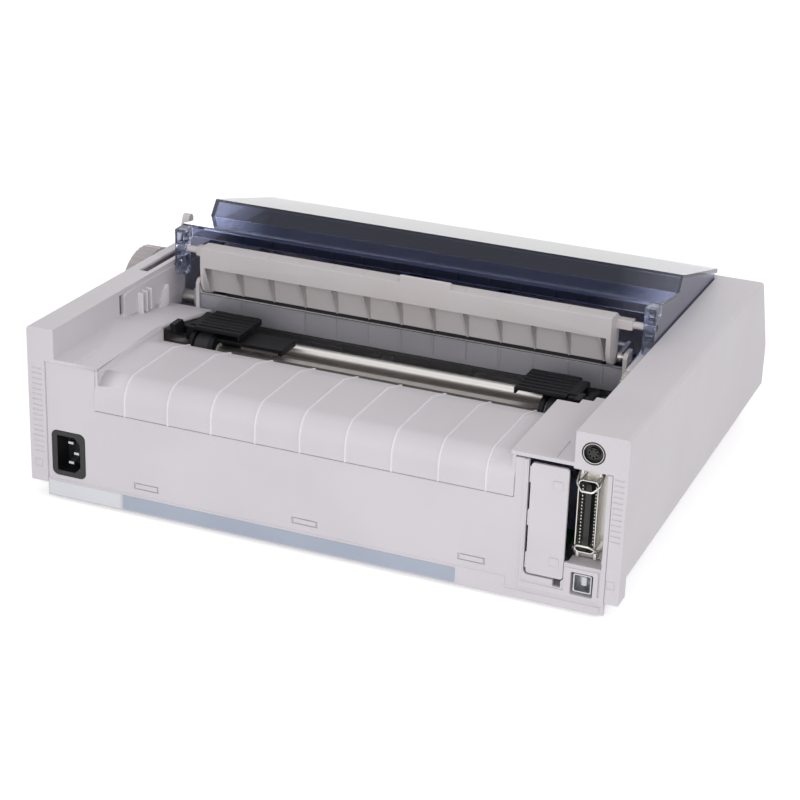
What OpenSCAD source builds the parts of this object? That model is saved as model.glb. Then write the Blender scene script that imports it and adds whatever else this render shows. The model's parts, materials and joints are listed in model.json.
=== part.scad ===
// Narrow-carriage dot matrix printer with a hinged smoke hood, rear tractors and a paper separator.
// +Z is up, the front faces -Y. The origin is the centre of the printer's footprint, on the table.

/* [Body] */
// Width across the side towers
body_w = 398; // [380:1:430]
// Depth of the case
body_d = 345; // [335:1:370]
// Height of the towers at the rear, above the case bottom
tower_h = 116; // [114:0.5:124]
// How far the tower tops fall towards the front
tower_fall = 7.4; // [4:0.2:10]
// Run of the slanted front
front_run = 28; // [22:1:34]
// Height where the slanted front turns upright
front_knee_h = 52; // [44:1:60]
// Height of the upper case's lower edge at the sides
skirt_h = 22; // [18:1:26]
// Wall of the mouldings
wall = 2.6; // [2.2:0.1:3.2]
// Radius along the towers' outer top edges
tower_edge_r = 2.5; // [1.5:0.5:8]
// Width of the knob side tower
knob_tower_w = 19.2; // [17:0.2:22]
// Width of the interface side tower
port_tower_w = 33; // [32:0.5:36]
// How far the lower case stands in from each side
base_inset = 12; // [10:0.5:14]
// Height of the rubber feet below the case
foot_h = 2; // [1.5:0.1:4]

/* [Rear] */
// Height of the two rear decks
deck_h = 96; // [94:0.5:98]
// Width of the deck beside the knob tower
knob_deck_w = 31; // [28:0.5:34]
// Width of the deck beside the interface tower
port_deck_w = 38.5; // [36:0.5:40]
// Height of the rounded paper hump
hump_h = 90; // [88:0.5:91]
// Rear corner radius of the hump
hump_r = 14; // [10:0.5:18]
// Height of the hump's lower edge on the rear panel
hump_low = 66; // [60:1:70]
// Distance of the hump's front lip from the rear face
hump_lip_in = 88; // [84:1:90]
// Number of paper ribs on the hump
hump_ribs = 9; // [5:1:13]

/* [Paper path] */
// Radius of the rubber platen
platen_r = 13.5; // [12.5:0.1:14]
// Height of the platen's axis
platen_z = 80; // [79:0.5:81]
// Radius of the platen knob
knob_r = 31; // [24:0.5:34]
// Width of the platen knob
knob_w = 16; // [12:0.5:20]
// Diameter of the platen shaft
platen_shaft_d = 10; // [8:0.2:11]
// Diameter of the tractors' support rod
rod_d = 8.6; // [7:0.1:10]
// Side of the square tractor shaft
square_a = 6; // [5:0.1:7]
// Travel of the knob side tractor
knob_tractor_travel = 60; // [20:1:70]
// Travel of the interface side tractor
port_tractor_travel = 40; // [10:1:50]
// Opening angle of a tractor flap
flap_swing = 90; // [60:1:90]
// Swing of the paper separator
guide_swing = 60; // [40:1:65]
// Opening angle of the hood
hood_swing = 65; // [30:1:70]

/* [Printing] */
// Diameter of the carriage shaft
carriage_shaft_d = 12; // [10:0.2:13]
// Carriage travel each way from the middle
carriage_travel = 100; // [40:1:104]
// Pitch radius of the carriage belt's pulleys
belt_pulley_r = 7; // [6:0.1:8]
// Width of the carriage belt
belt_w = 6; // [4:0.5:7]

/* [Gears] */
// Gear module of the paper feed train
gear_m = 1; // [0.95:0.05:1.05]
// Face width of the feed gears
gear_w = 6; // [4:0.5:7]
// Extra centre distance of meshing gears
mesh_gap = 0.15; // [0.1:0.05:0.25]

/* [Fits] */
// Radial clearance of a running shaft
fit_gap = 0.05; // [0.02:0.01:0.09]
// Gap between a cover and its neighbour
cover_gap = 0.6; // [0.4:0.1:1]
// Gap between parts that slide past each other
slide_gap = 0.3; // [0.2:0.05:0.5]

/* [Hidden] */
$fn = 48;

// Case outline, in body coordinates: x across, y to the rear, z above the case bottom.
side_x = body_w / 2;
rear_y = body_d / 2;
front_y = -rear_y;
front_top_y = front_y + front_run;
front_top_h = tower_h - tower_fall;
top_tilt = atan(tower_fall / (body_d - front_run));
base_x = side_x - base_inset;
knob_wall_x = side_x - knob_tower_w;
port_wall_x = -side_x + port_tower_w;
knob_deck_x = knob_wall_x - knob_deck_w;
port_deck_x = port_wall_x + port_deck_w;
mid_x = (knob_wall_x + port_wall_x) / 2;
bay_front_y = front_top_y + 6;
shell_d = 400;

// Rear panel levels
skirt_line_h = 12.5;
panel_y = rear_y - 1.5;
hump_lip_y = rear_y - hump_lip_in;
hump_lip_h = hump_h - 6.6;
hump_crest_y = hump_lip_y + 23;
deck_knee_y = hump_lip_y + 9;
deck_front_y = 14;
deck_front_h = deck_h - 14.5;

// Frames stand just inside the tower walls.
frame_t = 2;
knob_frame_x = knob_wall_x - 17.8;
port_frame_x = port_wall_x + 15;
frame_bottom = 6;
bracket_t = 3;
knob_bracket_x = knob_frame_x - bracket_t;
port_bracket_x = port_frame_x + frame_t;

// Paper feed
platen_y = -6;
platen_len = 272;
gear_x = port_frame_x - 2 - gear_w;
platen_teeth = 40;
idler_teeth = 27;
pinion_teeth = 12;
tractor_idler_teeth = 38;
tractor_teeth = 32;
function pitch_r(n) = gear_m * n / 2;
function centres(a, b) = pitch_r(a) + pitch_r(b) + mesh_gap;
feed_angle = -60.5;
feed_idler_y = platen_y + centres(platen_teeth, idler_teeth) * cos(feed_angle);
feed_idler_z = platen_z + centres(platen_teeth, idler_teeth) * sin(feed_angle);
pinion_y = feed_idler_y + centres(idler_teeth, pinion_teeth) * cos(feed_angle);
pinion_z = feed_idler_z + centres(idler_teeth, pinion_teeth) * sin(feed_angle);
tractor_angle = -3.1;
tractor_idler_y = platen_y + centres(platen_teeth, tractor_idler_teeth) * cos(tractor_angle);
tractor_idler_z = platen_z + centres(platen_teeth, tractor_idler_teeth) * sin(tractor_angle);
tractor_y = tractor_idler_y + centres(tractor_idler_teeth, tractor_teeth) * cos(tractor_angle);
tractor_z = tractor_idler_z + centres(tractor_idler_teeth, tractor_teeth) * sin(tractor_angle);
rod_y = tractor_y - 23.9;
pin_pulley_r = 9.3;
pin_belt_t = 1.2;
belt_run_r = pin_pulley_r + slide_gap;
tractor_plate_r = 12.6;
tractor_plate_t = 3;
tractor_core_w = 12;
tractor_w = tractor_core_w + 2 * tractor_plate_t;
knob_tractor_x = 116;
port_tractor_x = -130;
journal_r = square_a * 0.75;

// Printing
carriage_y = -62;
carriage_z = 52;
belt_y = -90;
belt_z = 44;
belt_t = 1.4;
drive_pulley_x = 142;
idler_pulley_x = -130;
head_gap = 1;
ribbon_y = platen_y - platen_r - head_gap + 0.4;

// Hood and separator pivots: the hood turns in the tower walls, the separator in the hood's posts.
hood_pivot_y = 8;
hood_pivot_z = 107;
hood_pivot_r = 3;
guide_pivot_r = 2.4;
hood_t = 2.4;
hood_x0 = port_wall_x + cover_gap;
hood_x1 = knob_wall_x - 2 * cover_gap;
hood_back_y = -50;
hood_back_h = 139;
hood_step_y = -42;
hood_step_h = 129;
ledge_y = 0.5;
ledge_h = 135.7;
ledge_skirt_h = 8.7;
hood_front_y = front_top_y - 0.7;
hood_front_h = front_top_h + 4.7;
guide_pivot_y = 7.5;
guide_pivot_z = ledge_h - 14.7;
post_y0 = 3.5;
post_y1 = 12;
post_w = 8;
post_low = hood_pivot_z - 4;
cheek_y = front_top_y + 7;
cheek_h = 105;
skirt_rib_pitch = 22.7;
guide_x0 = -137;
guide_x1 = 150;
guide_back_y = 24;
guide_top_y = 11.5;
guide_top_h = guide_pivot_z + 8;
guide_band_h = 14;
guide_low_y = 5.8;
guide_low_h = platen_z + 13;
guide_t = 2.2;
guide_arm = 13;
fin_pitch = 23.6;
fin_w = 1.6;

// Bail
bail_y = -12.4;
bail_z = platen_z + 17.9;
bail_pivot_y = 6;
bail_pivot_z = 97;
bail_bar_r = 2;
bail_pin_r = 2;
bail_arm_w = 2.5;
waist = 0.5; // how much narrower an arm is than the eye at its end
bail_knob_x = knob_bracket_x - 5;
bail_port_x = port_bracket_x + bracket_t + 2.5;
roller_xs = [-95, -28, 40, 108];
roller_w = 12;
bail_roller_r = 5;
pressure_y = -12.4;
pressure_r = 5;
pressure_shaft_r = 2.5;
pressure_z = platen_z - sqrt(pow(platen_r + pressure_r + 0.1, 2) - pow(pressure_y - platen_y, 2));

// Small shafts, stubs and sheet parts
stub_r = 2;
release_pivot_y = 20;
release_pivot_z = 50;
rail_h = 53;
rail_x1 = 124;
film_top = guide_low_h - 1.3;
film_low = platen_z - 14;
chute_y = 8.6; // front face of the wall behind the platen
chute_t = 1.8;
film_y = 12.4;
film_t = 1.2;
pan_t = 1.5;
head_half = 26;
clip_half = 12;
carriage_half = 30;
cartridge_half = 38;

// Rear sockets, centres on the rear face
inlet_depth = 16;
bail_hinge_dz = 27;
bail_hinge_in = 8.7;
wire_r = 0.7;
wire_out = 13;
wire_half = 7.3;
wire_knee = 10.5;
inlet_x = 171.8;
inlet_z = 31;
inlet_w = 24;
inlet_h = 31;
inlet_r = 4;
option_x0 = -163.4;
option_x1 = -140.2;
option_gap = 1.3;
option_tab_h = 10.4;
option_tabs = [21, 49, 77];
option_z0 = 18;
option_z1 = 90;
port_x = -174.8;
port_z = 61;
port_recess = [-187, -166, 30, 92];
usb_block = [-185.5, -164.6, 12, 27.8];
usb_x = -175.6;
usb_z = 18;
din_x = -177.4;
socket_r = 6.9;
din_z = 103.6;

// Control panel on the slanted front
slant = atan2(front_top_h - front_knee_h, front_run);
panel_x = 92;
panel_w = 116;
panel_h = 34;
button_w = 16;
button_h = 8;
button_pitch = 24;

// Small features
rib_out = 0.8;
rib_w = 1.2;
deck_skirt_h = 16;
floor_t = 2.6;
pad_y0 = 15;
pad_y1 = 44;
pad_h = 105;
low_line_x = -127.6; // where the part line over the rating band steps down
low_line_h = 5.2;
strip_x = -96;
snap_a = 4.4;
seam = 0.7; // open line under the hump
board_y = rear_y - 76.5;
feed_motor_r = 17;
wire_tilt = 44;
port_frame_edge = -190.2;
release_x = 187;
rocker_y = front_y + 52.5;
rocker_z = 48;
rocker_l = 20;
rocker_w = 13;
slot_xs = [115.5, 4.8, -105.6];
slot_z = 19;
case_bosses = [[-175, front_y + 22.5], [175, front_y + 22.5], [-60, rear_y - 12.5], [100, rear_y - 12.5]];

// Everything sits foot_h up, with the knob's overhang shared between both sides of the origin.
knob_out = knob_w + 1;
module place() translate([-knob_out / 2, 0, foot_h]) children();

// Puts a shape drawn in the YZ plane (local x to y, local y to z) at x0, running towards +X.
module along_x(x0, y = 0, z = 0) translate([x0, y, z]) rotate([90, 0, 90]) children();
// Puts a shape drawn in the XZ plane at y0, running towards +Y.
module along_y(x, y0, z) translate([x, y0, z]) mirror([0, 1, 0]) rotate([90, 0, 0]) children();
module box(x0, x1, y0, y1, z0, z1) translate([x0, y0, z0]) cube([x1 - x0, y1 - y0, z1 - z0]);
module disc(r, h) cylinder(r = r, h = h);
module ring(r1, r2, h) difference() {
    cylinder(r = r1, h = h);
    translate([0, 0, -1]) cylinder(r = r2, h = h + 2);
}
// Rectangle with true round corners.
module rounded(w, h, r) union() {
    translate([-w / 2 + r, -h / 2]) square([w - 2 * r, h]);
    translate([-w / 2, -h / 2 + r]) square([w, h - 2 * r]);
    for (sx = [-1, 1], sy = [-1, 1]) translate([sx * (w / 2 - r), sy * (h / 2 - r)]) circle(r);
}
// Two round ends joined: a belt outline between two centres on a line.
module stadium(y0, z0, y1, z1, r, waist = 0) {
    a = atan2(z1 - z0, y1 - y0);
    h = r - waist;
    translate([y0, z0]) circle(r);
    translate([y1, z1]) circle(r);
    translate([y0, z0]) rotate(a) translate([0, -h]) square([norm([y1 - y0, z1 - z0]), 2 * h]);
}
// A strip of even thickness below a run of points [y, z].
module strip(pts, t) polygon(concat(pts, [for (i = [len(pts) - 1:-1:0]) [pts[i][0], pts[i][1] - t]]));
function arc(cy, cz, r, a0, a1, n) = [for (i = [0:n]) let (a = a0 + (a1 - a0) * i / n)
    [cy + r * cos(a), cz + r * sin(a)]];

// Gear with straight-sided teeth; tooth 0 points along local +x.
module gear2d(n) {
    r = pitch_r(n);
    root = r - 1.15 * gear_m;
    tip = r + 0.85 * gear_m;
    circle(root + 0.02);
    for (i = [0:n - 1]) rotate(i * 360 / n)
        polygon([[root - 0.6, -0.9 * gear_m], [root, -0.9 * gear_m], [r, -0.62 * gear_m], [tip, -0.3 * gear_m],
            [tip, 0.3 * gear_m], [r, 0.62 * gear_m], [root, 0.9 * gear_m], [root - 0.6, 0.9 * gear_m]]);
}
// Phase of gear b so that it meshes with gear a, whose tooth 0 points at a0, along the line at angle line.
function mesh_phase(a, b, a0, line) =
    line + 180 + (line - a0 - floor((line - a0) * a / 360) * 360 / a) * a / b + 180 / b;
feed_idler_phase = mesh_phase(platen_teeth, idler_teeth, 0, feed_angle);
pinion_phase = mesh_phase(idler_teeth, pinion_teeth, feed_idler_phase, feed_angle);
tractor_idler_phase = mesh_phase(platen_teeth, tractor_idler_teeth, 0, tractor_angle);
tractor_phase = mesh_phase(tractor_idler_teeth, tractor_teeth, tractor_idler_phase, tractor_angle);

// ---- Upper case -------------------------------------------------------------------------------

// Side outline of the case, drawn inwards by d.
module side_outline(d) polygon([[front_y + d, 0], [rear_y - d, 0],
    [rear_y - d, tower_h - d + d * tan(top_tilt)], [front_top_y + d * 0.6, front_top_h - d],
    [front_y + d, front_knee_h - d * 0.3]]);
// Cross outline with round outer top edges, swept along the slope of the tower tops.
module cross_sweep(d) translate([0, rear_y, tower_h]) rotate([top_tilt, 0, 0])
    translate([0, 10, 0]) rotate([90, 0, 0]) linear_extrude(shell_d) {
    e = max(tower_edge_r, d);
    translate([-side_x + d, -tower_h * 2]) square([body_w - 2 * d, tower_h * 2 - e]);
    translate([-side_x + e, -tower_h]) square([body_w - 2 * e, tower_h - d]);
    if (tower_edge_r > d) for (s = [-1, 1])
        translate([s * (side_x - tower_edge_r), -tower_edge_r]) circle(tower_edge_r - d);
}
module shell_block(d) intersection() {
    along_x(-side_x + d) linear_extrude(body_w - 2 * d) side_outline(d);
    cross_sweep(d);
}
module slab(x0, x1, y0, y1) box(x0, x1, y0, y1, -1, tower_h + 10);
// One hollow side tower; inner is the x of its inner face, s the side it stands on.
module tower(inner, s) difference() {
    intersection() {
        shell_block(0);
        slab(min(inner, s * side_x), max(inner, s * side_x), front_y, rear_y);
    }
    intersection() {
        shell_block(wall);
        slab(min(inner + s * wall, s * shell_d), max(inner + s * wall, s * shell_d), front_y, rear_y);
    }
}
// Top front strip and slanted front between the towers.
module front_shell() difference() {
    intersection() {
        shell_block(0);
        slab(port_wall_x - 1, knob_wall_x + 1, front_y, bay_front_y);
    }
    intersection() {
        shell_block(wall);
        slab(port_wall_x - 2, knob_wall_x + 2, front_y, rear_y);
    }
}
// Hump outline: up the rear face, round, along the top and down to the lip; out moves it outwards.
hump_y = rear_y - rib_out;
function hump_path(out) = concat([[hump_y + out, hump_low]],
    arc(hump_y - hump_r, hump_h - hump_r, hump_r + out, 0, 90, 10),
    [[hump_crest_y, hump_h + out], [hump_lip_y - out * 0.5, hump_lip_h + out],
    [hump_lip_y - out, hump_lip_h - 5]]);
module hump() {
    outer = hump_path(0);
    inner = hump_path(-wall);
    along_x(port_deck_x - wall) linear_extrude(knob_deck_x - port_deck_x + 2 * wall)
        polygon(concat(outer, [for (i = [len(inner) - 1:-1:0]) inner[i]]));
    rib_pitch = (knob_deck_x - port_deck_x - 34) / (hump_ribs - 1);
    proud = hump_path(rib_out);
    sunk = hump_path(-0.5);
    for (i = [0:hump_ribs - 1]) along_x(port_deck_x + 14 + i * rib_pitch) linear_extrude(rib_w)
        polygon(concat(proud, [for (k = [len(sunk) - 1:-1:0]) sunk[k]]));
}
module decks() {
    along_x(knob_deck_x) linear_extrude(knob_deck_w + 1)
        strip([[rear_y, deck_h], [deck_knee_y, deck_h], [deck_front_y, deck_front_h]], wall);
    along_x(knob_deck_x) linear_extrude(wall) strip([[rear_y - wall, deck_h], [deck_knee_y, deck_h],
        [hump_lip_y, deck_h - 2]], deck_skirt_h);
    box(port_wall_x - 1, port_deck_x, hump_lip_y + 4, rear_y, deck_h - wall, deck_h);
    // low ribs over the case hooks
    for (x = [knob_wall_x - 16, port_deck_x - 27.5])
        box(x, x + 1.2, rear_y - 27, rear_y - 0.4, deck_h - 1, deck_h + 0.8);
    box(port_deck_x - wall, port_deck_x, hump_lip_y + 4, rear_y - wall, deck_h - deck_skirt_h, deck_h);
    // stepped ledge along the interface tower
    for (i = [0:2]) box(port_wall_x - 1, port_deck_x - 14 - 7 * i, hump_lip_y + 4 - 7 * (i + 1),
        hump_lip_y + 4.5 - 7 * i, deck_h - wall, deck_h);
    box(port_wall_x - 1, port_wall_x + 9, pad_y0, pad_y1, pad_h - wall, pad_h);
    box(port_wall_x - 1, port_wall_x + 3, pad_y1 - 1, hump_lip_y, deck_h - wall, pad_h - 3);
}
hook_slot_y = deck_knee_y - 11;
hook_slot_w = 5;
// Shallow raised panel, clip boss and rib on the inner face of the knob tower.
module knob_wall_details() {
    t = 0.8;
    along_x(knob_wall_x - t) linear_extrude(t + 0.5) polygon([[deck_front_y - 15, deck_front_h + 3],
        [hook_slot_y, deck_h - 2.5], [hook_slot_y, deck_h + 12], [hook_slot_y - 4, deck_h + 14],
        [deck_front_y + 52, tower_h - 6], [deck_front_y - 15, tower_h - 8]]);
    for (y = [50, 56, 62]) box(knob_wall_x - t - 3.5, knob_wall_x, y, y + 1.8, deck_h - 6, deck_h + 9);
    along_x(knob_wall_x - t - 2.5) linear_extrude(3) polygon([[24, deck_h - 12], [40, deck_h - 12],
        [40, deck_h - 10.5], [25, deck_h + 3]]);
}
module grip_grooves(x0, x1, z0, count) for (i = [0:count - 1])
    box(x0, x1, rear_y - 0.5, rear_y + 1, z0 + i * 3.6, z0 + i * 3.6 + 0.9);
module release_slot() translate([release_x, 0, 0]) box(-3.2, 3.2, -24, 42, tower_h - 14, tower_h + 2);
module upper_case() color("gainsboro") difference() {
    union() {
        difference() {
            union() {
                difference() {
                    tower(knob_wall_x, 1);
                    box(knob_wall_x - 1, knob_wall_x + wall + 0.5, hook_slot_y, hook_slot_y + hook_slot_w,
                        deck_h + 0.5, deck_h + 14.5);
                }
                tower(port_wall_x, -1);
                front_shell();
            }
            // open underside: the side walls end at the skirt line, the inner walls higher
            box(-side_x - 1, side_x + 1, front_y - 1, rear_y - 14, -1, skirt_h);
            box(-side_x - 1, side_x + 1, rear_y - 15, rear_y + 1, -1, skirt_h - 13);
            box(port_wall_x - wall - 0.5, port_wall_x + 1, front_top_y - 3, rear_y - wall, -1, deck_h - 4);
            box(knob_wall_x - 1, knob_wall_x + wall + 0.5, front_top_y - 3, rear_y - wall, -1,
                deck_front_h - 4);
            for (x = [port_wall_x - wall - 0.5, knob_wall_x - 0.5])
                box(x, x + wall + 1, front_y + wall, front_top_y, -1, skirt_h + 12.4);
            // the knob tower's inner wall stops short of the hood bay
            box(knob_wall_x - 1, knob_wall_x + wall + 0.5, -70, -5, -1, tower_h - 11);
            // rear faces that the lower case closes
            box(knob_deck_x, base_x, panel_y - wall - 0.2, rear_y + 1, -1, deck_h - wall);
            box(port_frame_edge, port_deck_x, panel_y - wall - 0.2, rear_y + 1, -1, port_recess[3]);
        }
        decks();
        hump();
        knob_wall_details();
        rocker_bosses();
    }
    grip_grooves(base_x + 2, side_x - 3, 30, 17);
    grip_grooves(-side_x + 2, port_frame_edge - 1, 50, 12);
    release_slot();
    // hood pivots
    along_x(port_wall_x - wall - 1, hood_pivot_y, hood_pivot_z)
        disc(hood_pivot_r + fit_gap, knob_wall_x - port_wall_x + 2 * wall + 2);
    // platen shaft and round socket holes
    along_x(knob_wall_x - 5, platen_y, platen_z) disc(platen_shaft_d / 2 + 1.5, knob_tower_w + 10);
    along_y(din_x, rear_y - 5, din_z) disc(socket_r + slide_gap, 8);
    // outlines of the snap windows at the lower corners
    for (s = [-1, 1]) translate([s * (base_x + 6.2), rear_y, skirt_h]) difference() {
        cube([snap_a + 1, 1, snap_a + 1], center = true);
        cube([snap_a, 3, snap_a], center = true);
    }
    // control panel and power switch openings
    on_slant() translate([-panel_w / 2 - slide_gap, -panel_h / 2 - slide_gap, -6])
        cube([panel_w + 2 * slide_gap, panel_h + 2 * slide_gap, 12]);
    box(side_x - 5, side_x + 1, rocker_y - rocker_l / 2 - slide_gap, rocker_y + rocker_l / 2 + slide_gap,
        rocker_z - rocker_w / 2 - slide_gap, rocker_z + rocker_w / 2 + slide_gap);
}
// Local x runs along the front, local y up the slant, local z out of it.
module on_slant() translate([panel_x, front_y + front_run / 2, (front_knee_h + front_top_h) / 2])
    rotate([slant, 0, 0]) children();

// ---- Lower case -------------------------------------------------------------------------------

module rear_wall2d() {
    translate([-base_x, 0]) square([2 * base_x, hump_low - seam]);
    translate([knob_deck_x + wall + 0.1, 0]) square([base_x - knob_deck_x - wall - 0.1, deck_h - wall - 0.2]);
    translate([port_frame_edge + 0.3, 0])
        square([port_deck_x - port_frame_edge - 3, port_recess[3] - 0.3]);
}
module chamfered(w, h, c) polygon([[-w / 2, -h / 2], [w / 2 - c, -h / 2], [w / 2, -h / 2 + c],
    [w / 2, h / 2 - c], [w / 2 - c, h / 2], [-w / 2, h / 2]]);
module lower_case() color("whitesmoke") {
    difference() {
        union() {
            box(-base_x, base_x, front_y + 8, rear_y - 2, 0, floor_t);
            for (s = [-1, 1]) translate([s * (base_x - wall / 2), 0, 0])
                box(-wall / 2, wall / 2, front_y + 8, rear_y - 2, 0, skirt_h + 12);
            box(-base_x, base_x, front_y + 8, front_y + 8 + wall, 0, skirt_h + 12);
            along_y(0, panel_y - wall, 0) linear_extrude(wall) rear_wall2d();
            // rating band and skirt, a little proud of the panel
            box(low_line_x, base_x, panel_y - wall, rear_y - 0.5, 0, skirt_line_h);
            box(-base_x, low_line_x + 1, panel_y - wall, rear_y - 0.5, 0, low_line_h);
            // bevelled frame round the interface sockets
            box(port_frame_edge + 0.3, port_frame_edge + 3.5, panel_y - 12, rear_y - 0.3, 6,
                port_recess[3] - 0.3);
            box(port_frame_edge + 0.3, option_x1 + 4, panel_y - 12, rear_y - 0.3, 8, 12);
            box(option_x1 + 2.4, option_x1 + 4, panel_y - 1, rear_y - 0.7, 9, port_recess[3] - 0.3);
            // housing round the lower socket and floor of the connector's recess
            box(usb_block[0], usb_block[1], panel_y - 5, rear_y - 0.2, usb_block[2], usb_block[3]);
            box(port_recess[0], port_recess[1] + 1, panel_y - 13, panel_y, usb_block[3] - 1,
                port_recess[2] - 0.4);
            for (x = [-126, -66, 0, 66, 126]) box(x - 1, x + 1, front_y + 9, 20, 0, floor_t + 2);
            // ledge that closes the underside of the towers and carries the upper case
            difference() {
                box(wall - side_x, side_x - wall, front_y + wall, rear_y - wall, skirt_h + 1, skirt_h + 3.4);
                box(wall - base_x, base_x - wall, front_y + 9, rear_y, skirt_h, skirt_h + 4);
            }
            for (p = case_bosses) translate([p[0], p[1], 0]) disc(4, 20);
        }
        along_y(inlet_x, panel_y - 6, inlet_z) linear_extrude(10)
            rounded(inlet_w + 2 * slide_gap, inlet_h + 2 * slide_gap, inlet_r + slide_gap);
        along_y(0, panel_y - 6, 0) linear_extrude(10) translate([(option_x0 + option_x1 + option_gap) / 2,
            option_z0 + 48 - option_gap]) rounded(option_x1 - option_x0 + option_gap + 0.6, 96, 3);
        box(port_recess[1] - 1, option_x0, panel_y - 6, rear_y + 1, port_recess[2], port_recess[3] + 10);
        box(port_recess[0], port_recess[1], panel_y - 6, rear_y + 1, port_recess[2], port_recess[3] + 10);
        along_y(usb_x, panel_y - 6, usb_z) linear_extrude(10) rounded(14, 15, 1);
        box(option_x0 + 1.2, option_x0 + 6.1, panel_y - 6, rear_y + 1, 12.6, option_z0 - option_gap + 0.5);
        // outlines of three snap slots and the part line above the rating band
        for (x = slot_xs) translate([x, panel_y, slot_z]) difference() {
            translate([-8.8, -1.4, -2.1]) cube([17.6, 3, 4.2]);
            translate([-7.6, -2, -1.6]) cube([15.2, 4, 3.2]);
        }
        for (p = case_bosses) translate([p[0], p[1], -1]) disc(1.6, 30);
        for (x = [-100:25:100]) box(x, x + 3, -80, -20, -1, floor_t + 1);
    }
    // snap windows at the outer corners
    for (s = [-1, 1]) translate([s * (base_x + 4), 0, 0])
        box(-3, 3, panel_y - 8, panel_y - 1.2, skirt_h - 8, skirt_h + 8);
    for (s = [-1, 1]) translate([s * (base_x - 1), 0, 0])
        box(-1.3, 1.3, panel_y - 8, panel_y - 1.2, skirt_h - 8, skirt_h + 8);
    // posts under the frames
    for (x = [knob_frame_x + 1, port_frame_x + 1], y = [-100, 70]) translate([x, y, floor_t - 0.5])
        translate([-5, -6, 0]) cube([10, 12, frame_bottom - floor_t + 0.5]);
}
module feet() color("dimgray") for (sx = [-1, 1], sy = [-1, 1])
    translate([sx * (base_x - 22), sy * (rear_y - 32), -foot_h]) disc(9, foot_h);
module case_screws() color("silver") for (p = case_bosses) translate([p[0], p[1], 0]) {
    translate([0, 0, 0.5]) disc(1.5, 22);
    translate([0, 0, 20]) disc(3.2, 2);
}

// ---- Frame ------------------------------------------------------------------------------------

module frame_holes(s) {
    translate([platen_y, platen_z]) circle(platen_shaft_d / 2 + fit_gap);
    translate([tractor_y, tractor_z]) circle(journal_r + fit_gap);
    translate([rod_y, tractor_z]) circle(rod_d / 2);
    translate([carriage_y, carriage_z]) circle(carriage_shaft_d / 2);
    translate([pressure_y, pressure_z]) circle(pressure_shaft_r + fit_gap);
    if (s > 0) translate([release_pivot_y, release_pivot_z]) circle(stub_r + fit_gap);
    else for (p = [[feed_idler_y, feed_idler_z], [pinion_y, pinion_z], [tractor_idler_y, tractor_idler_z]])
        translate(p) circle(stub_r + fit_gap);
}
module frame_plate2d(s) difference() {
    polygon([[-118, frame_bottom], [90, frame_bottom], [90, 86], [16, 77], [12, 77], [12, platen_z + 14],
        [-28, platen_z + 14], [-44, 70], [-118, 66]]);
    frame_holes(s);
    for (y = [-95, 50]) translate([y, 20]) rounded(34, 14, 4);
}
module side_frames() color("darkgray") {
    along_x(knob_frame_x) linear_extrude(frame_t) frame_plate2d(1);
    along_x(port_frame_x) linear_extrude(frame_t) frame_plate2d(-1);
}
module frame_tray() color("silver") {
    x0 = port_frame_x + frame_t;
    difference() {
        box(x0, knob_frame_x, -118, 88, frame_bottom, frame_bottom + 1.5);
        for (x = [-100:50:110]) box(x, x + 30, -90, -30, 0, 20);
        box(x0 + 14, knob_frame_x - 14, 0, 80, 0, 20);
    }
    box(x0, knob_frame_x, -118, -116.5, frame_bottom, 26);
    // rail that carries the front of the carriage
    box(x0, rail_x1, -112, -110, frame_bottom + 1, rail_h);
    // plate with the bearing of the belt's idler pulley
    difference() {
        box(idler_pulley_x - 9, idler_pulley_x + 9, belt_y - 7, belt_y - 5.4, frame_bottom + 1, belt_z + 10);
        along_y(idler_pulley_x, belt_y - 8, belt_z) disc(stub_r + fit_gap, 4);
    }
}
module hinge_brackets() color("gainsboro") {
    for (x = [knob_bracket_x, port_bracket_x]) along_x(x) linear_extrude(bracket_t) difference() {
        polygon([[0.5, platen_z + 12], [chute_y, platen_z + 8], [chute_y, film_low],
            [deck_front_y - 0.3, film_low],
            [deck_front_y - 0.3, platen_z + 19], [11, platen_z + 22], [1, platen_z + 22]]);
        translate([bail_pivot_y, bail_pivot_z]) circle(bail_pin_r + fit_gap);
    }
    // fixed wall of the paper chute behind the platen, with short fins
    box(port_bracket_x + 1, knob_bracket_x + 1, chute_y, chute_y + chute_t, platen_z - 6, guide_low_h - 1.9);
    for (x = [guide_x0 + 4:fin_pitch:guide_x1 - 2]) along_x(x) linear_extrude(fin_w) polygon([
        [chute_y + 1, guide_low_h - 3], [chute_y + chute_t + 1.4, guide_low_h - 3],
        [chute_y + chute_t + 0.5, platen_z - 3], [chute_y + 1, platen_z - 3]]);
}
module paper_pan() color("rosybrown") along_x(port_frame_x + frame_t)
    linear_extrude(knob_frame_x - port_frame_x - frame_t)
    strip([[hump_lip_y - 2, 74], [hump_lip_y - 6, 61], [tractor_y - 2, 58], [tractor_y - 38, 57.5],
        [platen_y + 14, 59], [platen_y + 3, 61]], pan_t);
module guide_film() color("lightsteelblue") along_x(port_bracket_x + bracket_t)
    linear_extrude(knob_bracket_x - port_bracket_x - bracket_t)
    polygon([[film_y, film_top], [film_y + film_t, film_top], [film_y - 2 + film_t, film_low],
        [film_y - 2, film_low]]);
module labels() color("lightblue") {
    box(133.5, base_x - 1, rear_y - 0.5, rear_y - 0.1, 1.5, skirt_line_h - 1.2);
    box(strip_x, 132, rear_y - 0.5, rear_y - 0.1, 1.5, skirt_line_h - 1.2);
}

// ---- Electrics --------------------------------------------------------------------------------

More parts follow.
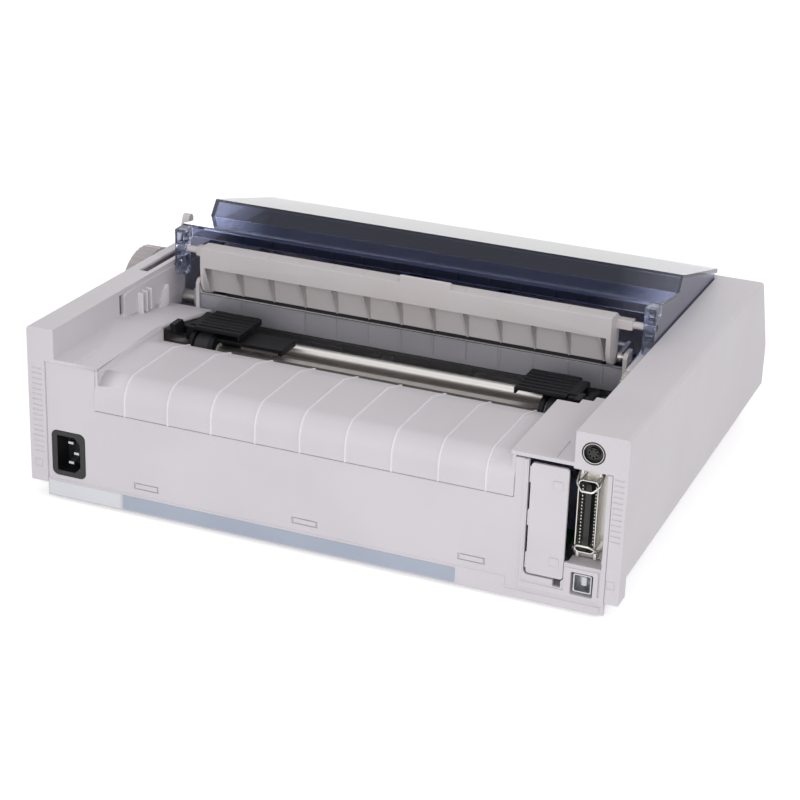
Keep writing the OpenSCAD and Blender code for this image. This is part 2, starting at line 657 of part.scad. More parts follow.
module mains_inlet() color("black") {
    along_y(inlet_x, panel_y - inlet_depth, inlet_z) difference() {
        union() {
            linear_extrude(inlet_depth) rounded(inlet_w, inlet_h, inlet_r);
            translate([0, 0, inlet_depth - wall - 1.5]) linear_extrude(1.5)
                square([inlet_w + 1, inlet_h + 3], center = true);
            translate([0, 0, -6]) linear_extrude(6.5) square([16, 22], center = true);
        }
        translate([0, 0, 1.5]) linear_extrude(inlet_depth) mirror([1, 0, 0]) chamfered(16.5, 24.4, 4);
    }
    for (p = [[0, 7], [0, -7], [-4, 0]]) along_y(inlet_x + p[0], panel_y - inlet_depth + 1, inlet_z + p[1])
        linear_extrude(12) square([4, 2], center = true);
}
module parallel_shell() color("silver") difference() {
    union() {
        box(port_recess[0] + wall + 0.2, port_recess[1] - 0.3, panel_y - 13, panel_y - 11.8, port_recess[2] + 0.2,
            port_recess[3] - 0.6);
        along_y(port_x, panel_y - 12, port_z) linear_extrude(10) rounded(12.6, 47, 3);
        for (s = [-1, 1], t = [-1, 1]) translate([port_x, 0, port_z + s * bail_hinge_dz])
            box(t * 5.4 - 0.9, t * 5.4 + 0.9, panel_y - 12.5, panel_y - 6.5, -2.2, 2.2);
    }
    along_y(port_x, panel_y - 14, port_z) linear_extrude(20) rounded(11.2, 45.6, 2.4);
    for (s = [-1, 1]) along_x(port_x - 10, panel_y - bail_hinge_in, port_z + s * bail_hinge_dz)
        disc(wire_r + fit_gap, 20);
}
module parallel_insert() color("black") {
    along_y(port_x, panel_y - 18, port_z) linear_extrude(8) rounded(11.2, 45.6, 2.4);
    along_y(port_x, panel_y - 11, port_z) linear_extrude(7.5) rounded(3.4, 41, 1.2);
}
module usb_port() color("silver") {
    along_y(usb_x, panel_y - 18, usb_z) difference() {
        linear_extrude(17.4) rounded(11.4, 12, 1);
        translate([0, 0, 6]) linear_extrude(14) rounded(9.8, 10.4, 0.8);
    }
    along_y(usb_x, panel_y - 13, usb_z) linear_extrude(9) square([3.2, 5.6], center = true);
}
module round_socket() color("dimgray") difference() {
    union() {
        along_y(din_x, rear_y - 9, din_z) disc(socket_r, 8.9);
        along_y(din_x, rear_y - wall - 1.5, din_z) disc(socket_r + 0.9, 1.5);
    }
    along_y(din_x, rear_y - 2.4, din_z) ring(socket_r - 1.3, socket_r - 3.4, 4);
    for (a = [30:50:330]) along_y(din_x + 2.6 * sin(a), rear_y - 6, din_z + 2.6 * cos(a)) disc(0.55, 8);
}
module main_board() color("darkgreen") translate([0, board_y, 0]) {
    box(-150, 96, 0, 58, 12, 13.6);
    for (p = [[-130, 14, 26], [-90, 24, 40], [-40, 19, 30], [10, 24, 34], [60, 34, 24]])
        box(p[0], p[0] + p[2], p[1], p[1] + p[2] * 0.6, 13.5, 18);
    for (x = [-30, -12, 6, 24]) translate([x, 7, 13.5]) disc(5, 14);
    for (x = [-140, 90], y = [6, 52]) translate([x, y, floor_t]) disc(3, 12 - floor_t + 0.1);
    // interface card behind the rear sockets, joined to the board by an angle
    box(port_x - 7, port_x + 7, 55, 57, 11, 90);
    box(-170, -145, 51, 56.5, 12, 13.6);
}
module power_supply() color("gray") translate([base_x, board_y, 0]) {
    box(-75, -9, 0, 52, floor_t, floor_t + 1.6);
    box(-69, -21, 6, 48, floor_t + 1.5, 50);
    box(-24, -7, 47, 75 - inlet_depth - 6, floor_t, 44);
}
module feed_motor() color("gray") {
    along_x(port_frame_x + frame_t, pinion_y, pinion_z) difference() {
        disc(feed_motor_r, 22);
        translate([0, 0, -1]) disc(stub_r + 0.6, 12);
    }
    difference() {
        box(port_frame_x + frame_t, port_frame_x + frame_t + 1.5, pinion_y - feed_motor_r - 6,
            pinion_y + feed_motor_r + 6, pinion_z - 8, pinion_z + 8);
        along_x(port_frame_x, pinion_y, pinion_z) disc(stub_r + 0.6, 12);
    }
}
module carriage_motor() color("gray") difference() {
    union() {
        along_y(drive_pulley_x, -131, belt_z) disc(15.5, belt_y - 7 + 131);
        box(drive_pulley_x - 17, knob_frame_x, belt_y - 7, belt_y - 5.4, belt_z - 14, belt_z + 16);
    }
    along_y(drive_pulley_x, belt_y - 14, belt_z) disc(stub_r + fit_gap, 12);
}

// ---- Control panel ----------------------------------------------------------------------------

function button_x(i) = (i - 1) * button_pitch - 14;
module control_panel() color("lightgray") on_slant() difference() {
    union() {
        translate([-panel_w / 2, -panel_h / 2, -2]) cube([panel_w, panel_h, 2.4]);
        // hooks behind the case wall, along both long edges
        for (s = [-1, 1]) translate([-panel_w / 2 + 6, s * (panel_h / 2 - 0.4) - 1.4, -wall - 1.5])
            cube([panel_w - 12, 2.8, 1.5]);
        for (s = [-1, 1]) translate([-panel_w / 2 + 6, s * (panel_h / 2 - 0.75) - 0.75, -wall - 1.5])
            cube([panel_w - 12, 1.5, 3]);
    }
    for (i = [0:2]) translate([button_x(i) - button_w / 2 - slide_gap, -9 - button_h / 2 - slide_gap, -5])
        cube([button_w + 2 * slide_gap, button_h + 2 * slide_gap, 10]);
    for (i = [0:3]) translate([button_x(0) + i * 18, 8, -5]) cylinder(r = 1.6, h = 10);
    translate([36, -12, 0]) cube([16, 24, 1]);
}
module indicator_lenses() color("limegreen") on_slant() for (i = [0:3])
    translate([button_x(0) + i * 18, 8, -3]) cylinder(r = 1.6, h = 3.7);
// Key with a flange behind the panel
module button(i) on_slant() translate([button_x(i), -9, 0]) {
    translate([-button_w / 2, -button_h / 2, -3.6]) cube([button_w, button_h, 5.6]);
    translate([-button_w / 2 - 1.2, -button_h / 2 - 1.2, -3.6]) cube([button_w + 2.4, button_h + 2.4, 1.5]);
}
module button_select() color("darkseagreen") button(0);
module button_line_feed() color("gray") button(1);
module button_form_feed() color("gray") button(2);

// ---- Power switch -----------------------------------------------------------------------------

rocker_pivot_x = side_x - 5.5;
rocker_tilt = 8;
rocker_pin_r = 1;
module rocker_bosses() difference() {
    for (s = [-1, 1]) translate([0, 0, rocker_z + s * (rocker_w / 2 + slide_gap + 1)])
        box(side_x - 9, side_x - 1, rocker_y - 5, rocker_y + 5, -1, 1);
    translate([rocker_pivot_x, rocker_y, rocker_z - 12]) cylinder(r = rocker_pin_r + fit_gap, h = 24);
}
module power_rocker() color("dimgray") translate([rocker_pivot_x, rocker_y, rocker_z]) rotate(-rocker_tilt) {
    translate([0, 0, -rocker_w / 2]) linear_extrude(rocker_w) polygon([[-3.5, -5], [3, -9], [6.6, -9],
        [5.4, 0], [6.6, 9], [3, 9], [-3.5, 5]]);
    translate([0, 0, -rocker_w / 2 - 2]) cylinder(r = rocker_pin_r, h = rocker_w + 4);
}

// ---- Rear covers and wire bails ---------------------------------------------------------------

module option_cover() color("gainsboro") {
    along_y((option_x0 + option_x1) / 2, panel_y - 2, (option_z0 + option_z1) / 2) linear_extrude(2)
        rounded(option_x1 - option_x0, option_z1 - option_z0, 2);
    for (z = option_tabs)
        box(option_x1 - 1, option_x1 + option_gap - 0.3, panel_y - 2, panel_y - 0.2, z, z + option_tab_h);
    box(option_x0 + 2, option_x1 - 2, panel_y - 6, panel_y - 1.5, option_z0 + 2, option_z0 + 4);
    box(option_x0 + 2, option_x1 - 2, panel_y - 6, panel_y - 1.5, option_z1 - 4, option_z1 - 2);
    for (z = [option_z0 + 8, option_z1 - 14])
        box(option_x0 + 3, option_x0 + 9, panel_y - 0.5, panel_y + 0.8, z, z + 5);
}
// Bent wire: pins in the lugs, legs beside the shell, cross bar in front; drawn pointing to +Y.
module wire2d(r) {
    h = wire_half;
    difference() {
        polygon([[-h - r, -r], [-h - r, wire_knee + r * 0.5], [-4.4, wire_out + r], [4.4, wire_out + r],
            [h + r, wire_knee + r * 0.5], [h + r, -r]]);
        polygon([[-h + r, -2 * r], [-h + r, wire_knee - r * 0.5], [-3.6, wire_out - r], [3.6, wire_out - r],
            [h - r, wire_knee - r * 0.5], [h - r, -2 * r]]);
    }
}
module wire_bail() {
    translate([0, 0, -wire_r]) linear_extrude(2 * wire_r) wire2d(wire_r);
    for (s = [-1, 1]) translate([s * (wire_half + 4.6) / 2, 0, 0]) rotate([0, 90, 0])
        cylinder(r = wire_r, h = wire_half - 4.6 + 0.4, center = true);
}
module upper_wire_bail() color("silver")
    translate([port_x, panel_y - bail_hinge_in, port_z + bail_hinge_dz]) rotate([-wire_tilt, 0, 0]) wire_bail();
module lower_wire_bail() color("silver")
    translate([port_x, panel_y - bail_hinge_in, port_z - bail_hinge_dz]) rotate([wire_tilt, 0, 0]) wire_bail();

// ---- Hood and separator -----------------------------------------------------------------------

module hood() color([0.6, 0.66, 0.72]) {
    difference() {
        union() {
            along_x(hood_x0) linear_extrude(hood_x1 - hood_x0) polygon([[hood_front_y, hood_front_h - 3],
                [hood_front_y, hood_front_h],
                [hood_back_y, hood_back_h], [hood_step_y, hood_step_h], [ledge_y, ledge_h],
                [ledge_y, ledge_h - ledge_skirt_h], [ledge_y - hood_t, ledge_h - ledge_skirt_h],
                [ledge_y - hood_t, ledge_h - hood_t - 0.4], [hood_step_y - 0.5, hood_step_h - hood_t - 0.1],
                [hood_back_y - 1.2, hood_back_h - hood_t - 0.3], [hood_front_y + hood_t, hood_front_h - 2.4],
                [hood_front_y + hood_t, hood_front_h - 3]]);
            for (x = [hood_x0, hood_x1 - hood_t]) along_x(x) linear_extrude(hood_t)
                polygon([[cheek_y, cheek_h], [cheek_y, hood_front_h + 0.6],
                [hood_back_y - 1, hood_back_h - 1.5],
                [hood_step_y, hood_step_h - 1.5], [ledge_y - 1, ledge_h - 1.5], [post_y0 + 1, 127],
                [post_y0 + 1, cheek_h + 1]]);
            for (x = [hood_x0, hood_x1 - post_w]) difference() {
                along_x(x) linear_extrude(post_w) polygon([[post_y0, post_low], [post_y1, post_low],
                    [post_y1, ledge_h - 0.7], [ledge_y - hood_t, ledge_h - 0.7], [ledge_y - hood_t, 126.5],
                    [post_y0, 126.5]]);
                // hollow under its cap
                for (z = [[hood_pivot_z + 5, guide_pivot_z - 4.5], [guide_pivot_z + 4.5, ledge_h - 2.8]])
                    box(x + hood_t * 0.7, x + post_w - hood_t * 0.7, post_y0 + 1.5, post_y1 + 1, z[0], z[1]);
            }
            for (x = [-140:skirt_rib_pitch:155]) box(x, x + 1.4, ledge_y - 0.5, ledge_y + 1.2,
                ledge_h - ledge_skirt_h + 0.5, ledge_h - 2.5);
        }
        along_x(hood_x0 - 1, guide_pivot_y, guide_pivot_z) disc(guide_pivot_r + fit_gap, hood_x1 - hood_x0 + 2);
    }
    for (x = [hood_x0 - 2.4, hood_x1 - 1]) along_x(x, hood_pivot_y, hood_pivot_z) disc(hood_pivot_r, 3.4);
}
module sheet_guide() color("tan") {
    band_low = guide_top_h - guide_band_h;
    box(guide_x0, guide_x1, guide_back_y - guide_t, guide_back_y, band_low, guide_top_h);
    box(guide_x0, guide_x1, guide_top_y, guide_back_y, guide_top_h - guide_t, guide_top_h);
    // recessed wall, and the fins between it and the band
    along_x(guide_x0) linear_extrude(guide_x1 - guide_x0) polygon([[guide_top_y, guide_top_h - 0.1],
        [guide_top_y + guide_t, guide_top_h - 0.1], [guide_low_y + guide_t, guide_low_h],
        [guide_low_y, guide_low_h]]);
    for (x = [guide_x0 + 4:fin_pitch:guide_x1 - 2]) {
        along_x(x) linear_extrude(fin_w) polygon([[guide_top_y + 1, guide_top_h - 1],
            [guide_back_y - 0.4, guide_top_h - 1], [guide_back_y - 0.4, band_low],
            [guide_low_y + guide_t + 1.2, guide_low_h], [guide_low_y + 1, guide_low_h]]);
        box(x, x + fin_w / 2, guide_top_y + 0.5, guide_back_y - 1, guide_top_h - 0.5, guide_top_h + 0.4);
    }
    // raised finger tab
    box(-30, 6, guide_back_y - guide_t, guide_back_y, guide_top_h - 1, guide_top_h + 5);
    for (x = [guide_x0 - 3, guide_x1]) along_x(x) linear_extrude(3) polygon([[guide_top_y, guide_top_h],
        [guide_back_y, guide_top_h], [guide_back_y, band_low], [guide_back_y - 1, guide_low_h + 11],
        [guide_back_y - 3.5, guide_low_h + 5], [guide_back_y - 7, guide_low_h + 2],
        [guide_back_y - 11, guide_low_h + 0.6], [guide_low_y + 0.4, guide_low_h + 0.2],
        [5, guide_pivot_z - 3.5], [4, guide_pivot_z], [5, guide_pivot_z + 3.5]]);
    for (x = [guide_x0 - guide_arm, guide_x1 + 2.5])
        box(x, x + guide_arm - 2.5, 4.2, 10.8, guide_pivot_z - 3.2, guide_pivot_z + 3.2);
    along_x(hood_x0 + 1, guide_pivot_y, guide_pivot_z) disc(guide_pivot_r, guide_x0 - hood_x0);
    along_x(guide_x1, guide_pivot_y, guide_pivot_z) disc(guide_pivot_r, hood_x1 - guide_x1 - 1);
}

// ---- Shafts, belt and platen ------------------------------------------------------------------

frames_w = knob_frame_x - port_frame_x + frame_t;
module carriage_shaft() color("silver") along_x(port_frame_x - 2, carriage_y, carriage_z)
    disc(carriage_shaft_d / 2, frames_w + 4);
module tractor_rod() color("silver") along_x(port_frame_x - 1, rod_y, tractor_z)
    disc(rod_d / 2, frames_w + 2);
module carriage_belt() color("black") along_y(0, belt_y - belt_w / 2, 0) linear_extrude(belt_w) difference() {
    stadium(idler_pulley_x, belt_z, drive_pulley_x, belt_z, belt_pulley_r + fit_gap + belt_t);
    stadium(idler_pulley_x, belt_z, drive_pulley_x, belt_z, belt_pulley_r + fit_gap);
}
module belt_pulley(x) color("silver") {
    along_y(x, belt_y - belt_w / 2 - 0.2, belt_z) disc(belt_pulley_r, belt_w + 0.4);
    along_y(x, belt_y + belt_w / 2 + 0.2, belt_z) disc(belt_pulley_r + 2, 1.2);
    along_y(x, belt_y - belt_w / 2 - 1.4, belt_z) disc(belt_pulley_r + 2, 1.2);
    along_y(x, belt_y - 13, belt_z) disc(stub_r, 14);
}
module drive_pulley() belt_pulley(drive_pulley_x);
module idler_pulley() belt_pulley(idler_pulley_x);

platen_x = mid_x - platen_len / 2;
module platen() color("black") along_x(platen_x, platen_y, platen_z)
    ring(platen_r, platen_shaft_d / 2, platen_len);
module platen_shaft() color("silver") along_x(gear_x - 3, platen_y, platen_z)
    disc(platen_shaft_d / 2, side_x + knob_out - 2 - gear_x + 3);
module platen_knob() color("rosybrown") along_x(side_x + 1, platen_y, platen_z) difference() {
    union() {
        disc(knob_r - 1.2, knob_w);
        translate([0, 0, 1.2]) disc(knob_r, knob_w - 2.4);
    }
    for (i = [0:35]) rotate(i * 10) translate([knob_r + 0.5, 0, -1])
        cylinder(r = 1.3, h = knob_w + 2, $fn = 16);
    translate([0, 0, knob_w - 3]) ring(knob_r - 4, 9, 4);
    translate([0, 0, -1]) ring(knob_r - 3, 9, knob_w - 5);
    translate([0, 0, -1]) disc(platen_shaft_d / 2, knob_w - 1);
}
module gear(n, y, z, phase) along_x(gear_x, y, z) rotate(phase) linear_extrude(gear_w) gear2d(n);
module platen_gear() color("dimgray") difference() {
    union() {
        gear(platen_teeth, platen_y, platen_z, 0);
        along_x(gear_x, platen_y, platen_z) disc(9, gear_w + 1.6);
    }
    along_x(gear_x - 1, platen_y, platen_z) disc(platen_shaft_d / 2, gear_w + 5);
    for (a = [30:60:360]) along_x(gear_x - 1, platen_y + 13.5 * cos(a), platen_z + 13.5 * sin(a)) disc(3, 9);
}
// Gear on its own stub, which turns in the frame plate
module stub_gear(n, y, z, phase) {
    gear(n, y, z, phase);
    along_x(gear_x, y, z) disc(min(pitch_r(n) - 1.5, 6), gear_w + 1.6);
    along_x(gear_x, y, z) disc(stub_r, port_frame_x + frame_t + 2 - gear_x);
}
module feed_idler() color("whitesmoke") stub_gear(idler_teeth, feed_idler_y, feed_idler_z, feed_idler_phase);
module feed_pinion() color("goldenrod") stub_gear(pinion_teeth, pinion_y, pinion_z, pinion_phase);
module tractor_idler() color("whitesmoke")
    stub_gear(tractor_idler_teeth, tractor_idler_y, tractor_idler_z, tractor_idler_phase);
module tractor_shaft() color("silver") {
    gear(tractor_teeth, tractor_y, tractor_z, tractor_phase);
    along_x(gear_x, tractor_y, tractor_z) disc(7, gear_w + 1.6);
    along_x(gear_x, tractor_y, tractor_z) disc(journal_r, port_frame_x + frame_t + 2 - gear_x);
    along_x(knob_frame_x - 2, tractor_y, tractor_z) disc(journal_r, frame_t + 4);
    box(port_frame_x + frame_t, knob_frame_x, tractor_y - square_a / 2, tractor_y + square_a / 2,
        tractor_z - square_a / 2, tractor_z + square_a / 2);
}

// ---- Tractors ---------------------------------------------------------------------------------
// x0 is the lower x of the tractor, s the side its flap hinge and lock face.

hub_r = 5.5;
lock_hub_r = 6.5;
flap_z = tractor_z + 14.2;
flap_y0 = rod_y - 4;
flap_y1 = tractor_y + 6;
flap_w = 36;
barrel_r = 1.9;
barrel_y0 = rod_y + 2.3;
barrel_y1 = tractor_y;
pin_tip = 14;
pin_pitch = 5;
function outer_x(x0, s) = s > 0 ? x0 + tractor_w : x0;
// Box from xo, reaching from a to b in the direction s.
module sbox(xo, s, a, b, y0, y1, z0, z1)
    box(min(xo + s * a, xo + s * b), max(xo + s * a, xo + s * b), y0, y1, z0, z1);
module tractor_body(x0, s) {
    xo = outer_x(x0, s);
    difference() {
        union() {
            for (x = [x0, x0 + tractor_w - tractor_plate_t]) along_x(x) linear_extrude(tractor_plate_t)
                stadium(rod_y, tractor_z, tractor_y, tractor_z, tractor_plate_r);
            along_x(x0 + 1, rod_y, tractor_z) disc(belt_run_r, tractor_w - 2);
            box(x0 + 1, x0 + tractor_w - 1, rod_y, tractor_y - pin_pulley_r - 1, tractor_z - belt_run_r,
                tractor_z + belt_run_r);
            along_x(min(xo, xo + s * 11.5), rod_y, tractor_z) disc(lock_hub_r, 11.5);
            for (y = [barrel_y0 - 4.3, barrel_y1 + 0.3]) sbox(xo, s, -1, 4.2, y, y + 4, tractor_z + 6, flap_z + 1.4);
        }
        along_x(x0 - 20, rod_y, tractor_z) disc(rod_d / 2 + 0.08, tractor_w + 40);
        along_x(x0 - 1, tractor_y, tractor_z) disc(hub_r + fit_gap, tractor_w + 2);
    }
    along_y(xo + s * 2.4, barrel_y0 - 4.3, flap_z) disc(1, barrel_y1 - barrel_y0 + 8.6);
}
module pin_pulley(x0) difference() {
    union() {
        along_x(x0, tractor_y, tractor_z) disc(hub_r, tractor_w);
        along_x(x0 + tractor_plate_t + slide_gap, tractor_y, tractor_z)
            disc(pin_pulley_r, tractor_core_w - 2 * slide_gap);
    }
    a = square_a / 2 + fit_gap;
    box(x0 - 1, x0 + tractor_w + 1, tractor_y - a, tractor_y + a, tractor_z - a, tractor_z + a);
}
module pin_belt(x0) {
    along_x(x0 + tractor_plate_t + 1) linear_extrude(tractor_core_w - 2) difference() {
        stadium(rod_y, tractor_z, tractor_y, tractor_z, belt_run_r + pin_belt_t);
        stadium(rod_y, tractor_z, tractor_y, tractor_z, belt_run_r);
    }
    for (y = [rod_y:pin_pitch:tractor_y], s = [-1, 1]) translate([x0 + tractor_w / 2, y, tractor_z])
        rotate([s > 0 ? 0 : 180, 0, 0]) translate([0, 0, belt_run_r + 0.5])
        cylinder(r = 1.1, h = pin_tip - belt_run_r - 0.5, $fn = 24);
}
module flap(x0, s) {
    xo = outer_x(x0, s);
    sbox(xo, s, -1.6, -flap_w, flap_y0, flap_y1, flap_z + 0.4, flap_z + 2.2);
    sbox(xo, s, -flap_w + 1.5, -flap_w, flap_y0, flap_y1, flap_z - 2, flap_z + 2);
    difference() {
        union() {
            sbox(xo, s, 2.4, -1.7, barrel_y0, barrel_y1, flap_z + 0.4, flap_z + 2.2);
            along_y(xo + s * 2.4, barrel_y0, flap_z) disc(barrel_r, barrel_y1 - barrel_y0);
        }
        along_y(xo + s * 2.4, barrel_y0 - 1, flap_z) disc(1 + fit_gap, barrel_y1 - barrel_y0 + 2);
    }
    for (y = [flap_y0 + 1:5.2:flap_y1 - 1]) sbox(xo, s, -2.5, -flap_w + 1, y, y + 1.4, flap_z + 2, flap_z + 3);
}
module lock_lever(x0, s) {
    xo = outer_x(x0, s);
    along_x(min(xo + s * 6.6, xo + s * 10.6)) linear_extrude(4) difference() {
        union() {
            translate([rod_y, tractor_z]) circle(lock_hub_r + 3);
            polygon([[rod_y, tractor_z + 3], [rod_y + 12, tractor_z + 6], [rod_y + 30, tractor_z + 10],
                [rod_y + 38, tractor_z + 13], [rod_y + 39.5, tractor_z + 20], [rod_y + 28, tractor_z + 20],
                [rod_y + 25, tractor_z + 14], [rod_y, tractor_z + 9.4]]);
        }
        translate([rod_y, tractor_z]) circle(lock_hub_r + fit_gap);
    }
}
module knob_side_tractor() color("dimgray") {
    tractor_body(knob_tractor_x, 1);
    // paper support that reaches towards the middle
    box(knob_tractor_x - 48, knob_tractor_x + 1, rod_y + 6, tractor_y + 4, tractor_z + 8, tractor_z + 10.4);
    box(knob_tractor_x - 48, knob_tractor_x - 45, rod_y + 6, tractor_y + 4, tractor_z + 6, tractor_z + 10.4);
}
module knob_side_pulley() color("gainsboro") pin_pulley(knob_tractor_x);
module knob_side_pin_belt() color("black") pin_belt(knob_tractor_x);
module knob_side_flap() color("dimgray") flap(knob_tractor_x, 1);
module knob_side_lock() color("dimgray") lock_lever(knob_tractor_x, 1);
module port_side_tractor() color("dimgray") tractor_body(port_tractor_x, -1);
module port_side_pulley() color("gainsboro") pin_pulley(port_tractor_x);
module port_side_pin_belt() color("black") pin_belt(port_tractor_x);
module port_side_flap() color("dimgray") flap(port_tractor_x, -1);
module port_side_lock() color("dimgray") lock_lever(port_tractor_x, -1);

// ---- Printing ---------------------------------------------------------------------------------

belt_top = belt_z + belt_pulley_r + fit_gap + belt_t;
module carriage() color("dimgray") difference() {
    union() {
        box(mid_x - carriage_half, mid_x + carriage_half, -78, -46, carriage_z - 11, carriage_z + 10);
        // arm to the rail, with a lip each side of it
        box(mid_x - clip_half, mid_x + clip_half, -115, -77, rail_h + fit_gap + 1.2, rail_h + 5);
        box(mid_x - clip_half, mid_x + clip_half, -115, -107, rail_h - 5, rail_h + 5);
        // clip round the belt
        box(mid_x - clip_half, mid_x + clip_half, belt_y - 5, belt_y + 5, belt_top - 5, rail_h + 4);
        for (s = [-1, 1]) box(mid_x + s * (carriage_half - 3) - 3, mid_x + s * (carriage_half - 3) + 3, -78, -70,
            carriage_z + 9, platen_z + 7.9);
    }
    along_x(mid_x - carriage_half - 1, carriage_y, carriage_z)
        disc(carriage_shaft_d / 2 + fit_gap, 2 * carriage_half + 2);
    box(mid_x - clip_half - 1, mid_x + clip_half + 1, -112 - fit_gap, -110 + fit_gap, 0, rail_h + fit_gap);
    box(mid_x - clip_half - 1, mid_x + clip_half + 1, belt_y - belt_w / 2 - slide_gap,
        belt_y + belt_w / 2 + slide_gap, belt_top - belt_t - slide_gap, belt_top + slide_gap);
}
module print_head() color("dimgray") {
    box(mid_x - head_half + 8, mid_x + head_half - 8, -68, -32, carriage_z + 10, platen_z + 6);
    for (y = [-66:4:-40])
        box(mid_x - head_half + 4, mid_x + head_half - 4, y, y + 1.6, carriage_z + 12, platen_z + 5);
    box(mid_x - 9, mid_x + 9, -33, platen_y - platen_r - head_gap, platen_z - 6, platen_z + 5);
    along_y(mid_x, -72, carriage_z + 18) disc(7, 10);
}
module ribbon_cartridge() color("black") {
    z = platen_z + 8;
    box(mid_x - cartridge_half, mid_x + cartridge_half, -98, -50, z, z + 11);
    for (s = [-1, 1]) box(mid_x + s * (cartridge_half - 8) - 6, mid_x + s * (cartridge_half - 8) + 6, -51, ribbon_y,
        z + 1, z + 9);
    box(mid_x - cartridge_half + 3, mid_x + cartridge_half - 3, ribbon_y - 0.1, ribbon_y + 0.3, z - 6, z + 7);
    translate([mid_x + 22, -76, z + 10]) disc(9, 3);
    translate([mid_x + 22, -76, z + 12]) for (i = [0:5]) rotate(i * 60) translate([7, -1, 0]) cube([3.5, 2, 1]);
}

// ---- Bail and pressure rollers ----------------------------------------------------------------

module paper_bail() color("silver") {
    for (x = [bail_port_x, bail_knob_x]) along_x(x) linear_extrude(bail_arm_w) {
        stadium(bail_y, bail_z, bail_pivot_y, bail_pivot_z, 3.4, waist);
    }
    along_x(bail_port_x + 1, bail_y, bail_z) disc(bail_bar_r, bail_knob_x - bail_port_x);
    along_x(port_bracket_x + 0.5, bail_pivot_y, bail_pivot_z) disc(bail_pin_r, bail_port_x - port_bracket_x + 1);
    along_x(bail_knob_x + 1, bail_pivot_y, bail_pivot_z) disc(bail_pin_r, knob_frame_x - bail_knob_x - 1.5);
}
module bail_rollers() color("dimgray") for (x = roller_xs)
    along_x(x, bail_y, bail_z) ring(bail_roller_r, bail_bar_r + fit_gap, roller_w);
module pressure_rollers() color("dimgray") {
    along_x(port_frame_x - 1, pressure_y, pressure_z) disc(pressure_shaft_r, frames_w + 2);
    for (x = roller_xs) along_x(x - 8, pressure_y, pressure_z) disc(pressure_r, roller_w + 16);
}

// ---- Release lever ----------------------------------------------------------------------------

lever_tip_y = -23;
lever_tip_z = 131;
module release_lever() color("wheat") {
    along_x(release_x - 1.5) linear_extrude(3) difference() {
        union() {
            translate([release_pivot_y, release_pivot_z]) circle(6);
            stadium(release_pivot_y, release_pivot_z, lever_tip_y, lever_tip_z, 3, waist);
        }
    }
    along_x(release_x - 2.6) linear_extrude(5.2) stadium(lever_tip_y + 3.2, lever_tip_z - 6.5, lever_tip_y,
        lever_tip_z, 3.6, 0.3);
    along_x(knob_frame_x - 0.5, release_pivot_y, release_pivot_z) disc(stub_r, release_x - knob_frame_x + 1);
    along_x(knob_frame_x + frame_t + 0.5, release_pivot_y, release_pivot_z)
        disc(stub_r + 2, release_x - knob_frame_x - frame_t - 0.5);
}

// ---- Output -----------------------------------------------------------------------------------

place() lower_case();
place() upper_case();
place() feet();
place() case_screws();
place() side_frames();
place() frame_tray();
place() hinge_brackets();
place() paper_pan();
place() guide_film();
place() labels();
place() control_panel();
place() indicator_lenses();
place() mains_inlet();
place() parallel_shell();
place() parallel_insert();
place() usb_port();
place() round_socket();
place() main_board();
place() power_supply();
place() feed_motor();
place() carriage_motor();
place() carriage_shaft();
place() tractor_rod();
place() carriage_belt();
place() option_cover();
place() hood();
place() sheet_guide();
place() platen();
place() platen_shaft();
place() platen_knob();
place() platen_gear();
place() feed_idler();
place() feed_pinion();
place() tractor_idler();
place() tractor_shaft();
place() knob_side_tractor();
place() knob_side_pulley();
place() knob_side_pin_belt();
place() knob_side_flap();
place() knob_side_lock();
place() port_side_tractor();
place() port_side_pulley();
place() port_side_pin_belt();
place() port_side_flap();
place() port_side_lock();
place() carriage();
place() print_head();
place() ribbon_cartridge();
place() drive_pulley();
place() idler_pulley();
place() paper_bail();
place() bail_rollers();
place() pressure_rollers();
place() release_lever();
place() button_select();
place() button_line_feed();
place() button_form_feed();
place() power_rocker();
place() upper_wire_bail();
place() lower_wire_bail();
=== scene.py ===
"""Looks for the dot matrix printer: moulded ABS case, smoke hood, tractors, sockets and wire bails."""

import json
import math

import bmesh
import bpy
from mathutils import Matrix, Vector
from mathutils.bvhtree import BVHTree
from mathutils.geometry import intersect_point_line

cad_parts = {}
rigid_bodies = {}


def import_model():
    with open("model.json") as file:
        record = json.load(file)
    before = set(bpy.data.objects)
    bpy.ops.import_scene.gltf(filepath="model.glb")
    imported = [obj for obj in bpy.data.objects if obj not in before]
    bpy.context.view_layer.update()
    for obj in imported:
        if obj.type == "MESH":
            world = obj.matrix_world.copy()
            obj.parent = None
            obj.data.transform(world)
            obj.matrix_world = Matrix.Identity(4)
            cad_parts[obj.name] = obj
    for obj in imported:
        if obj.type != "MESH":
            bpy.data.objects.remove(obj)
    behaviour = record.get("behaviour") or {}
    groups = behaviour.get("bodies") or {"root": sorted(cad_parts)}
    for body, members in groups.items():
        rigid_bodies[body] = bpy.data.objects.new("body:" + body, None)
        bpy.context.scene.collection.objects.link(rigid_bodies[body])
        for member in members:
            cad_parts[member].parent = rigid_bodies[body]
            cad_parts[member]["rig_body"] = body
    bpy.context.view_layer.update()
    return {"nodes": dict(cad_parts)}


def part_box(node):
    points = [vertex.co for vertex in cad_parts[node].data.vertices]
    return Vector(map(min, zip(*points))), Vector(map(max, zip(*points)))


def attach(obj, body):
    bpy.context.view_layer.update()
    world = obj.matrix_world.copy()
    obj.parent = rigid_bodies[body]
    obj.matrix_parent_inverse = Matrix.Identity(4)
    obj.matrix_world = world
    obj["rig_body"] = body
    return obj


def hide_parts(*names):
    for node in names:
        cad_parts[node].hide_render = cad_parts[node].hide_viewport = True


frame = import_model()
nodes = frame["nodes"]
MM = 0.001

